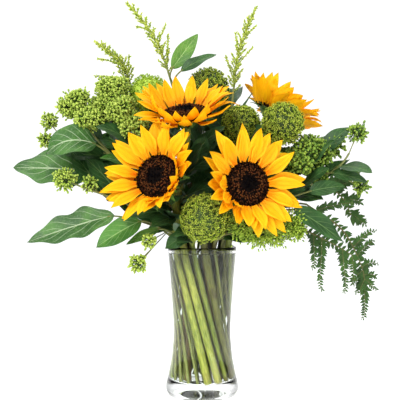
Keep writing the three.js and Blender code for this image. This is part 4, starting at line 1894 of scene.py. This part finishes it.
@dataclass
class Vase:
    """The waisted glass with its thick foot, and the water in it."""

    outline: tuple[Span, ...] = (
        (47.5, 1), (50.4, 10), (46.0, 30), (41.5, 56), (39.6, 92), (43.7, 156), (47.5, 202),
    )
    hollow: tuple[Span, ...] = ((0.0, 8.0), (10.0, 7.7), (20.0, 6.5), (30.0, 3.9), (38.0, 1.2))
    foot_radius: float = 45.5
    floor: float = 19.0
    wall: float = 3.2
    segments: int = 128
    overlap: float = 0.12
    sharp: float = 80

    def curve(self) -> list[Span]:
        """Returns the outside of the wall from the foot up."""
        rows = rounded([(r, 0.0, z) for r, z in self.outline], 60)
        return [(float(r), float(z)) for r, _, z in rows]

    def inside(self, top: float, grow: float) -> list[Span]:
        """Finds the inside of the wall, from the top down to the floor.

        Args:
            top: Where it starts.
            grow: How far it is pushed out into the glass.

        Returns:
            Radius and height of each ring.
        """
        wall = [(r - self.wall + grow, z) for r, z in self.curve() if 30 < z < top - 0.6]
        low = self.floor - grow
        corner = [(42.4 + grow, 26.0), (41.0 + grow, 22.4), (38.0 + grow, low + 0.9), (33.0, low + 0.1)]
        return [*reversed(wall), *corner]

    def build(self) -> None:
        """Builds and dresses the glass and the water."""
        height = float(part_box("vase")[1].z) / MM
        top = self.outline[-1][0]
        lip = [(top - 0.5, height - 0.35), (top - 1.6, height), (top - 2.7, height - 0.35)]
        foot = [*self.hollow, (self.foot_radius - 2, 0.0), (self.foot_radius + 1, 0.35)]
        glass = Sketch()
        profile = [*foot, *self.curve(), *lip, *self.inside(height - 0.6, 0.0), (0.0, self.floor)]
        glass.lathe(profile, self.segments, np.zeros(3), vec((0, 0, 1)))
        shell = [glass.object("glass", Look.GLASS, self.sharp)]
        vase = finished("vase_of_clear_glass", shell, "clear_glass", ["vase"])
        vase.visible_shadow = False
        level = float(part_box("water")[1].z) / MM
        edge = self.inside(level, self.overlap)
        rise = [(edge[0][0], level + 1.2), (edge[0][0] - 1.0, level + 0.4), (edge[0][0] - 2.6, level)]
        water = Sketch()
        profile = [(0.0, level), *reversed(rise), *edge, (0.0, self.floor - self.overlap)]
        water.lathe(profile[::-1], self.segments, np.zeros(3), vec((0, 0, 1)))
        body = [water.object("water_body", Look.WATER, self.sharp)]
        pool = finished("water_in_vase", body, "clear_water", ["water"])
        pool.visible_shadow = False


# ---- studio


@dataclass
class Studio:
    """A pale floor, soft lamps and the camera, set out from the vase's height."""

    vase_height: float = 203.0
    away: float = 4.73
    eye: float = 1.315
    aside: float = -2.8
    half_view: float = 0.28875

    def lamp(self, name: str, place: Point, size: float, watts: float) -> None:
        """Adds a square soft lamp that faces the bouquet.

        Args:
            name: Its name.
            place: Where it stands, in metres.
            size: The length of its side, in metres.
            watts: Its power.
        """
        data = bpy.data.lights.new(name, "AREA")
        data.size = size
        data.energy = watts
        lamp = added(name, data)
        lamp.location = place
        aim = Vector((0, 0, 0.28)) - Vector(place)
        lamp.rotation_euler = aim.to_track_quat("-Z", "Y").to_euler()

    def sky(self) -> None:
        """Makes the room's light: bright behind the bouquet, softer in front and darker at the sides."""
        world = bpy.data.worlds.new("room")
        world.use_nodes = True
        world.node_tree.nodes.clear()
        nodes = ShaderWiring(world.node_tree)
        ray = nodes.add("ShaderNodeTexCoord", {}).outputs["Generated"]
        parts = nodes.add("ShaderNodeSeparateXYZ", {0: ray}).outputs
        light = nodes.colour(nodes.ramp(parts[1], 0.0, 0.8), "A2A5A8", "FFFFFF")
        light = nodes.colour(nodes.ramp(parts[2], 0.2, 0.9), light, "F2F4F6")
        beside = nodes.ramp(nodes.sum("ABSOLUTE", parts[0]), 0.4, 0.85, (0.0, 0.8))
        light = nodes.colour(beside, light, "4C4E4C")
        out = nodes.out("ShaderNodeBackground", {"Color": light, "Strength": 1.14})
        nodes.add("ShaderNodeOutputWorld", {"Surface": out})
        bpy.context.scene.world = world

    def build(self) -> None:
        """Builds the floor, the light and the camera."""
        floor = Sketch()
        rows = [[(x, y, -0.2) for x in np.linspace(-4000, 4000, 5)] for y in np.linspace(-4000, 6000, 5)]
        floor.sheet(np.array(rows, float), 5.0, 0.5)
        floor.object("floor", Look.FLOOR)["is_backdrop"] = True
        self.sky()
        self.lamp("key", (-0.9, -1.4, 1.3), 1.0, 40.0)
        self.lamp("fill", (1.3, -1.2, 0.6), 1.2, 15.0)
        self.lamp("top", (0.1, 0.5, 1.7), 1.0, 12.0)
        camera = bpy.data.cameras.new("camera")
        camera.sensor_width = 36.0
        camera.lens = 18.0 / self.half_view
        camera.clip_end = 50.0
        eye = added("camera", camera)
        tall = self.vase_height * MM
        eye.location = (self.aside * MM, -self.away * tall, self.eye * tall)
        eye.rotation_euler = (math.pi / 2, 0, 0)
        bpy.context.scene.camera = eye
        settings = bpy.context.scene.view_settings
        settings.view_transform = "Standard"
        settings.look = "None"


# ---- the bouquet

SUNFLOWERS = (
    Sunflower("top", (-22, -50, 382), (-0.07, -0.42, 0.91), 40, -112, 11, (-90, 72, 0, 0.9, 32)),
    Sunflower(
        "left", (-57, -88, 297), (-0.39, -0.87, 0.31), 26, -90, 12, (-40, 76, 40, 0.7, 14),
        ray_length=49.5,
    ),
    Sunflower(
        "right", (57, -90, 287), (0.33, -0.93, 0.15), 20, -47, 13, (215, 66, 32, 0.76, 12),
        ray_length=50.0, stem_look=Look.OLIVE_STEM,
    ),
    Sunflower(
        "rear", (108, 35, 393), (0.52, -0.06, 0.85), 38, 78, 14, (180, 80, 8, 1.0, 6), ray_width=22.0,
        rows=((15, 12, 3, 0.9), (16, 2, 0.3, 1.0), (14, -8, -2.4, 1.02)), rays_face=(0.5, 0.28, 0.82),
    ),
)

DIANTHUS = (
    Dianthus("front", (3, -86, 244), 31, (0.2, -0.8, 0.6), -69),
    Dianthus("middle", (54, -5, 371), 27.5, (0, -0.15, 1), 58),
    Dianthus("right", (107, -40, 368), 29, (0.2, -0.1, 1), 12),
    Dianthus("back", (9, 40, 427), 31, (0, 0, 1), 117),
    Dianthus("left", (-75, 15, 412), 32, (-0.3, 0, 1), 154, 1700, (2.5, 3.3), Look.SOFT_BALL),
)

GOLDENROD = (
    Goldenrod(
        "centre", 136, (-48, 25, 449), (-0.3, 0, 1),
        ((-48, 25, 449), (-62, 23, 488), (-84, 21, 520), (-106, 20, 545)),
        ((0.05, (-48, 20, 500)), (0.2, (-72, 12, 492)), (0.35, (-52, 26, 516)), (0.5, (-92, 22, 512))),
    ),
    Goldenrod(
        "right", 98, (45, 30, 423), (0.1, 0, 1),
        ((45, 30, 423), (50, 30, 465), (61, 30, 505), (77, 30, 542)),
        ((0.1, (34, 24, 470)), (0.25, (72, 30, 484)), (0.45, (48, 34, 506)), (0.55, (76, 26, 514))),
    ),
    Goldenrod(
        "left", 172, (-104, 34, 437), (-0.1, -0.45, 1),
        ((-104, 34, 437), (-112, 24, 456), (-128, 14, 472), (-148, 5, 487)),
        ((0.0, (-151, 24, 443)), (0.1, (-103, 18, 470)), (0.3, (-123, 20, 475)), (0.4, (-145, 8, 464))),
    ),
)

SPRAYS = (
    Spray(
        "bud_spray_upper_left", SprayKind.BUDS, 2.4, 208, (-160, -8, 372), (-0.6, 0, 1),
        ((1, (-176, -5, 397), 16.5), (0.95, (-153, -15, 379), 17.5)),
    ),
    Spray(
        "bud_spray_back_left", SprayKind.BUDS, 2.4, 190, (-122, 5, 388), (-0.2, 0, 1),
        ((1, (-131, 0, 402), 16.5), (0.97, (-123, -4, 421), 15)),
    ),
    Spray(
        "bud_spray_centre_left", SprayKind.BUDS, 2.4, 170, (-96, -18, 366), (-0.3, -0.1, 1),
        ((1, (-111, -22, 389), 15), (0.95, (-93, -30, 367), 14)), 17.0,
    ),
    Spray(
        "bud_spray_far_left", SprayKind.BUDS, 2.0, -150, (-195, -2, 354), (-1, 0, 0.6),
        ((1, (-212, 0, 376), 9), (0.97, (-217, 0, 350), 7)), 17.0,
    ),
    Spray(
        "bud_spray_low_left", SprayKind.BUDS, 1.8, -133, (-172, -45, 290), (-1, -0.1, 0.5),
        (
            (1, (-181, -46, 294), 12), (0.8, (-150, -36, 288), 8),
            (0.25, (-68, -74, 214), 6), (0.25, (-82, -76, 186), 9),
        ),
    ),
    Spray(
        "leafy_spray_right", SprayKind.LEAFY, 2.4, 35, (148, -18, 322), (0.5, -0.2, 1),
        (
            (0.97, (130, -32, 322), 17), (1, (157, -20, 332), 17),
            (1, (182, -10, 343), 12), (0.9, (158, -24, 300), 12),
        ),
        30.0, 0.6,
    ),
    Spray(
        "leafy_spray_far_right", SprayKind.LEAFY, 2.0, 40, (198, -28, 330), (0.5, 0, 1),
        ((1, (209, -28, 357), 10.5), (0.85, (215, -20, 285), 7.5)), 17.0,
    ),
    Spray(
        "trailing_spray_right", SprayKind.TRAILING, 2.0, -27, (80, -70, 226), (0.8, -0.3, 0.1),
        (
            (0.85, (50, -76, 234), 14), (1, (72, -78, 226), 16), (1, (92, -76, 226), 15),
            (1, (112, -70, 236), 14), (1, (121, -62, 229), 11),
        ),
    ),
)

FERNS = (
    Fern(
        "front", 0, (140, -32, 261), (1, 0, -0.2),
        ((140, -32, 261), (188, -30, 227), (213, -30, 181), (219, -30, 154)),
        (
            (0.12, (202, -32, 262)), (0.5, (233, -30, 225)), (0.6, (227, -34, 212)), (0.72, (236, -30, 181)),
            (0.85, (232, -30, 162)), (0.95, (235, -30, 146)), (1, (215, -30, 107)), (0.75, (203, -34, 153)),
            (0.85, (207, -28, 142)), (0.95, (214, -34, 140)),
        ),
        17.0,
    ),
    Fern(
        "low", -8, (126, -46, 232), (1, -0.2, -0.3),
        ((126, -46, 232), (151, -46, 220), (180, -46, 205), (198, -46, 194)),
        ((0.3, (145, -46, 176)), (0.45, (159, -46, 147)), (0.75, (187, -46, 144)), (1, (204, -46, 160))),
    ),
    Fern(
        "back", 55, (160, 1, 282), (1, 0, 0.1),
        ((160, 1, 282), (178, 1, 284), (197, 1, 267), (207, 1, 246)),
        ((0.2, (218, 1, 304)), (0.45, (214, 3, 291)), (0.7, (219, 1, 262)), (1, (227, 1, 233))),
        17.0, 0.28, 1.4,
    ),
)

BROAD, DARK, PALE = "broad_leaf", "dark_leaf", "pale_leaf"
LEAVES = (  # name, finish, slot, host stem and height on it; base, tip, facing; width, arch and lobes
    ("arched_left", Look.BLUE_LEAF, BROAD, "bud_spray_upper_left", 300,
     (-142, -28, 342), (-210, -30, 328), (-0.1, -0.8, 0.62), 54, 17, 0),
    ("upper_left", Look.BLUE_LEAF, BROAD, "bud_spray_low_left", 250,
     (-138, 0, 306), (-259, -8, 311), (0, -0.9, 0.43), 56, 4, 0.14),
    ("lower_left", Look.BLUE_LEAF, BROAD, "sunflower_top", 222,
     (-117, -38, 247), (-231, -44, 211), (-0.1, -0.8, 0.6), 46, 3, 0.14),
    ("front_left", Look.FRESH_LEAF, BROAD, "sunflower_top", 214,
     (-80, -50, 240), (-138, -56, 205), (-0.25, -0.8, 0.55), 38, 3, 0),
    ("small_front_left", Look.PALE_LEAF, PALE, "sunflower_left", 212,
     (-56, -48, 229), (-99, -56, 209), (-0.2, -0.85, 0.5), 15, 2, 0),
    ("under_front_bloom", Look.DARK_LEAF, DARK, "dianthus_front", 211,
     (-20, -58, 222), (-48, -60, 204), (-0.2, -0.9, 0.4), 22, 2, 0),
    ("upper_right", Look.DARK_LEAF, DARK, "fern_front", 252,
     (140, -52, 278), (188, -48, 285), (0, -0.85, 0.5), 23, 3, 0),
    ("lower_right", Look.DARK_LEAF, BROAD, "fern_low", 224,
     (118, -70, 256), (182, -66, 213), (0.2, -0.8, 0.6), 32, 3, 0),
    ("top_pale", Look.PALE_LEAF, PALE, "goldenrod_centre", 436,
     (-42, 16, 452), (-6, 18, 501), (0.1, -0.95, 0.1), 24, 3, 0),
    ("top_dark", Look.DARK_LEAF, DARK, "goldenrod_centre", 430,
     (-30, 8, 447), (20, 6, 470), (-0.1, -0.8, 0.6), 20, 3, 0),
    ("inner", Look.DARK_LEAF, DARK, "sunflower_top", 300,
     (-6, -34, 320), (4, -44, 352), (0, -0.95, 0.2), 24, 3, 0),
    ("back", Look.BLUE_LEAF, BROAD, "dianthus_back", 260,
     (10, 74, 300), (6, 118, 360), (0, 0.8, -0.5), 44, 6, 0),
)


def hosts() -> dict[str, StemRoute]:
    """Collects the stems that leaves grow from.

    Returns:
        Each stem's route by its plant's name.
    """
    found = {f"sunflower_{s.side}": s.route for s in SUNFLOWERS}
    for d in DIANTHUS:
        end = vec(d.centre) - unit(vec(d.heading)) * (d.radius + DIANTHUS_GAP)
        found[f"dianthus_{d.side}"] = StemRoute(d.angle, d.stem_radius, tuple(end), d.heading)
    for g in GOLDENROD:
        found[f"goldenrod_{g.side}"] = StemRoute(g.angle, g.radius, g.to, g.heading)
    for s in SPRAYS:
        found[s.name] = StemRoute(s.angle, s.radius, s.to, s.heading, s.layer, s.rise)
    for f in FERNS:
        found[f"fern_{f.side}"] = StemRoute(f.angle, FERN_RADIUS, f.to, f.heading, f.layer, f.rise)
    return found


def build_leaves(garden: Garden) -> None:
    """Builds the large leaves, each as a piece of its own.

    Args:
        garden: The shared shapes.
    """
    stems = hosts()
    for name, look, slot, host, height, base, tip, faces, width, arch, lobes in LEAVES:
        route = stems[host]
        centre, along = route.at_height(height)
        grip = (centre, along, route.radius)
        Leaf(f"leaf_{name}", look, slot, base, tip, faces, width, arch, grip, lobes).build(garden)


@dataclass(frozen=True)
class Fan:
    """Filler leaves on one stem, about one direction and between two heights."""

    host: str
    count: int
    turn: float
    spread: float
    heights: Span
    rise: float
    long: Span
    wide: Span
    look: Look = Look.DARK_LEAF
    off_stem: float = 10
    steps: int = 24
    half_steps: int = 4

    def build(self, garden: Garden, draw: random.Random, route: StemRoute) -> None:
        """Builds and dresses the fan.

        Args:
            garden: The shared shapes.
            draw: The source of its random choices.
            route: The stem that it grows from.
        """
        low, high = self.heights
        parts = []
        for k in range(self.count):
            height = low + (high - low) * (k + draw.random()) / self.count
            centre, along = route.at_height(height)
            out = level_ray(math.radians(self.turn + draw.uniform(-self.spread, self.spread)))
            base = centre + out * self.off_stem + vec((0, 0, 5))
            lift = self.rise + draw.uniform(-0.5, 0.5)
            tip = base + unit(out + vec((0, 0, lift))) * draw.uniform(*self.long)
            faces = tuple(unit(vec((0, 0, 0.7)) - out * draw.uniform(0.0, 0.5) + vec((0, -0.8, 0))))
            leaf = Leaf(
                f"filler_{self.host}_{k}", self.look, DARK, tuple(base), tuple(tip), faces,
                draw.uniform(*self.wide), draw.uniform(2, 6), (centre, along, route.radius),
                steps=self.steps, half_steps=self.half_steps,
            )
            parts += leaf.parts(garden)
        finished(f"foliage_on_{self.host}", parts, DARK, [])


FANS = (
    Fan("sunflower_top", 20, -100, 140, (225, 336), 0.6, (44, 62), (22, 32)),
    Fan("sunflower_left", 11, -160, 70, (212, 285), 0.1, (38, 56), (18, 26)),
    Fan("sunflower_right", 5, -30, 60, (232, 268), 0.1, (38, 54), (18, 26)),
    Fan("sunflower_rear", 13, 0, 120, (230, 360), 0.7, (48, 70), (24, 32)),
    Fan("dianthus_front", 3, -140, 30, (206, 220), 0.0, (30, 46), (14, 22)),
    Fan("dianthus_middle", 18, -100, 140, (225, 345), 0.7, (46, 66), (30, 42)),
    Fan("dianthus_right", 12, 10, 80, (225, 312), 0.5, (44, 62), (22, 30)),
    Fan("dianthus_back", 28, -80, 150, (230, 390), 0.8, (50, 74), (32, 42)),
    Fan("dianthus_left", 12, 200, 120, (230, 380), 0.7, (48, 72), (24, 34)),
    Fan("bud_spray_low_left", 6, 172, 22, (222, 275), 0.8, (58, 86), (28, 36)),
    Fan("bud_spray_upper_left", 13, 160, 35, (250, 345), 0.3, (50, 74), (26, 34)),
    Fan("bud_spray_back_left", 14, 200, 60, (255, 375), 0.5, (48, 70), (24, 32), Look.FRESH_LEAF),
    Fan("bud_spray_centre_left", 12, 200, 60, (240, 345), 0.4, (44, 62), (22, 30)),
    Fan("leafy_spray_right", 16, 0, 60, (230, 325), 0.4, (48, 72), (24, 32)),
    Fan("leafy_spray_far_right", 9, -15, 45, (235, 315), 0.2, (40, 60), (18, 26)),
    Fan("fern_low", 4, -30, 40, (222, 232), 0.0, (40, 58), (18, 24)),
    Fan("fern_back", 10, 0, 50, (225, 270), 0.3, (46, 66), (22, 30)),
    Fan("trailing_spray_right", 3, 0, 40, (206, 222), 0.0, (28, 44), (12, 20)),
    Fan("goldenrod_centre", 5, 220, 90, (290, 360), 0.7, (44, 60), (18, 26)),
    Fan("goldenrod_right", 6, 0, 120, (290, 365), 0.8, (44, 60), (18, 26)),
    Fan("goldenrod_left", 6, 180, 90, (290, 400), 0.8, (42, 58), (18, 26)),
)
MORE_STEMS = (  # angle about the vase and radius
    (-120, 4.2), (-92, 4.6), (-62, 4.0), (-32, 4.2), (82, 4.0), (112, 4.4), (140, 3.8), (-178, 4.0),
)


@dataclass
class Undergrowth:
    """Dark leaves on the stems that close the gaps between the blooms, their own stems, and a bundle of
    near-black core stems that are painted shade between the stems in the vase.
    """

    seed: int = 21
    inner_layer: float = 17.0
    reach: float = 45
    top: float = 262
    core_count: int = 5
    core_layer: float = 8.5
    core_foot: float = 4.6
    core_end: float = 3.2
    core_reach: float = 22
    core_top: float = 290

    def build(self, garden: Garden) -> None:
        """Builds and dresses the leaves and the stems.

        Args:
            garden: The shared shapes.
        """
        draw = random.Random(self.seed)
        stems = hosts()
        for fan in FANS:
            fan.build(garden, draw, stems[fan.host])
        stalks = []
        for angle, radius in MORE_STEMS:
            turn = math.radians(angle)
            end = (self.reach * math.cos(turn), self.reach * math.sin(turn) - 8, self.top)
            route = StemRoute(angle, radius, end, (math.cos(turn), math.sin(turn), 0.8), self.inner_layer)
            look = (Look.OLIVE_STEM, Look.BROWN_STEM)[len(stalks) % 2]
            stalks.append(garden.stalk(f"foliage_stem_{angle}", [route.route()], radius, radius * 0.7, look))
        # A bundle of near-black core stems: painted shade that darkens the gaps between the stems in the
        # vase.
        for angle in range(0, 360, 360 // self.core_count):
            turn = math.radians(angle)
            end = (self.core_reach * math.cos(turn), self.core_reach * math.sin(turn), self.core_top)
            heading = (math.cos(turn), math.sin(turn), 1.6)
            route = StemRoute(angle, self.core_foot, end, heading, self.core_layer)
            sizes = (self.core_foot, self.core_end)
            stalks.append(garden.stalk(f"core_stem_{angle}", [route.route()], *sizes, Look.DARK_STEM))
        finished("foliage_stems", stalks, "dianthus_stem", [])


def main() -> None:
    """Builds the studio, the vase and every plant."""
    logging.basicConfig(level=logging.INFO, format="%(message)s")
    Studio().build()
    garden = Garden()
    Vase().build()
    for plants in (SUNFLOWERS, DIANTHUS, GOLDENROD, SPRAYS, FERNS):
        for plant in plants:
            plant.build(garden)
    build_leaves(garden)
    Undergrowth().build(garden)
    for label, box in (("cad", CAD_BOX), ("visual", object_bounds())):
        [[float(value) for value in corner] for corner in box]


if __name__ == "__main__":
    main()
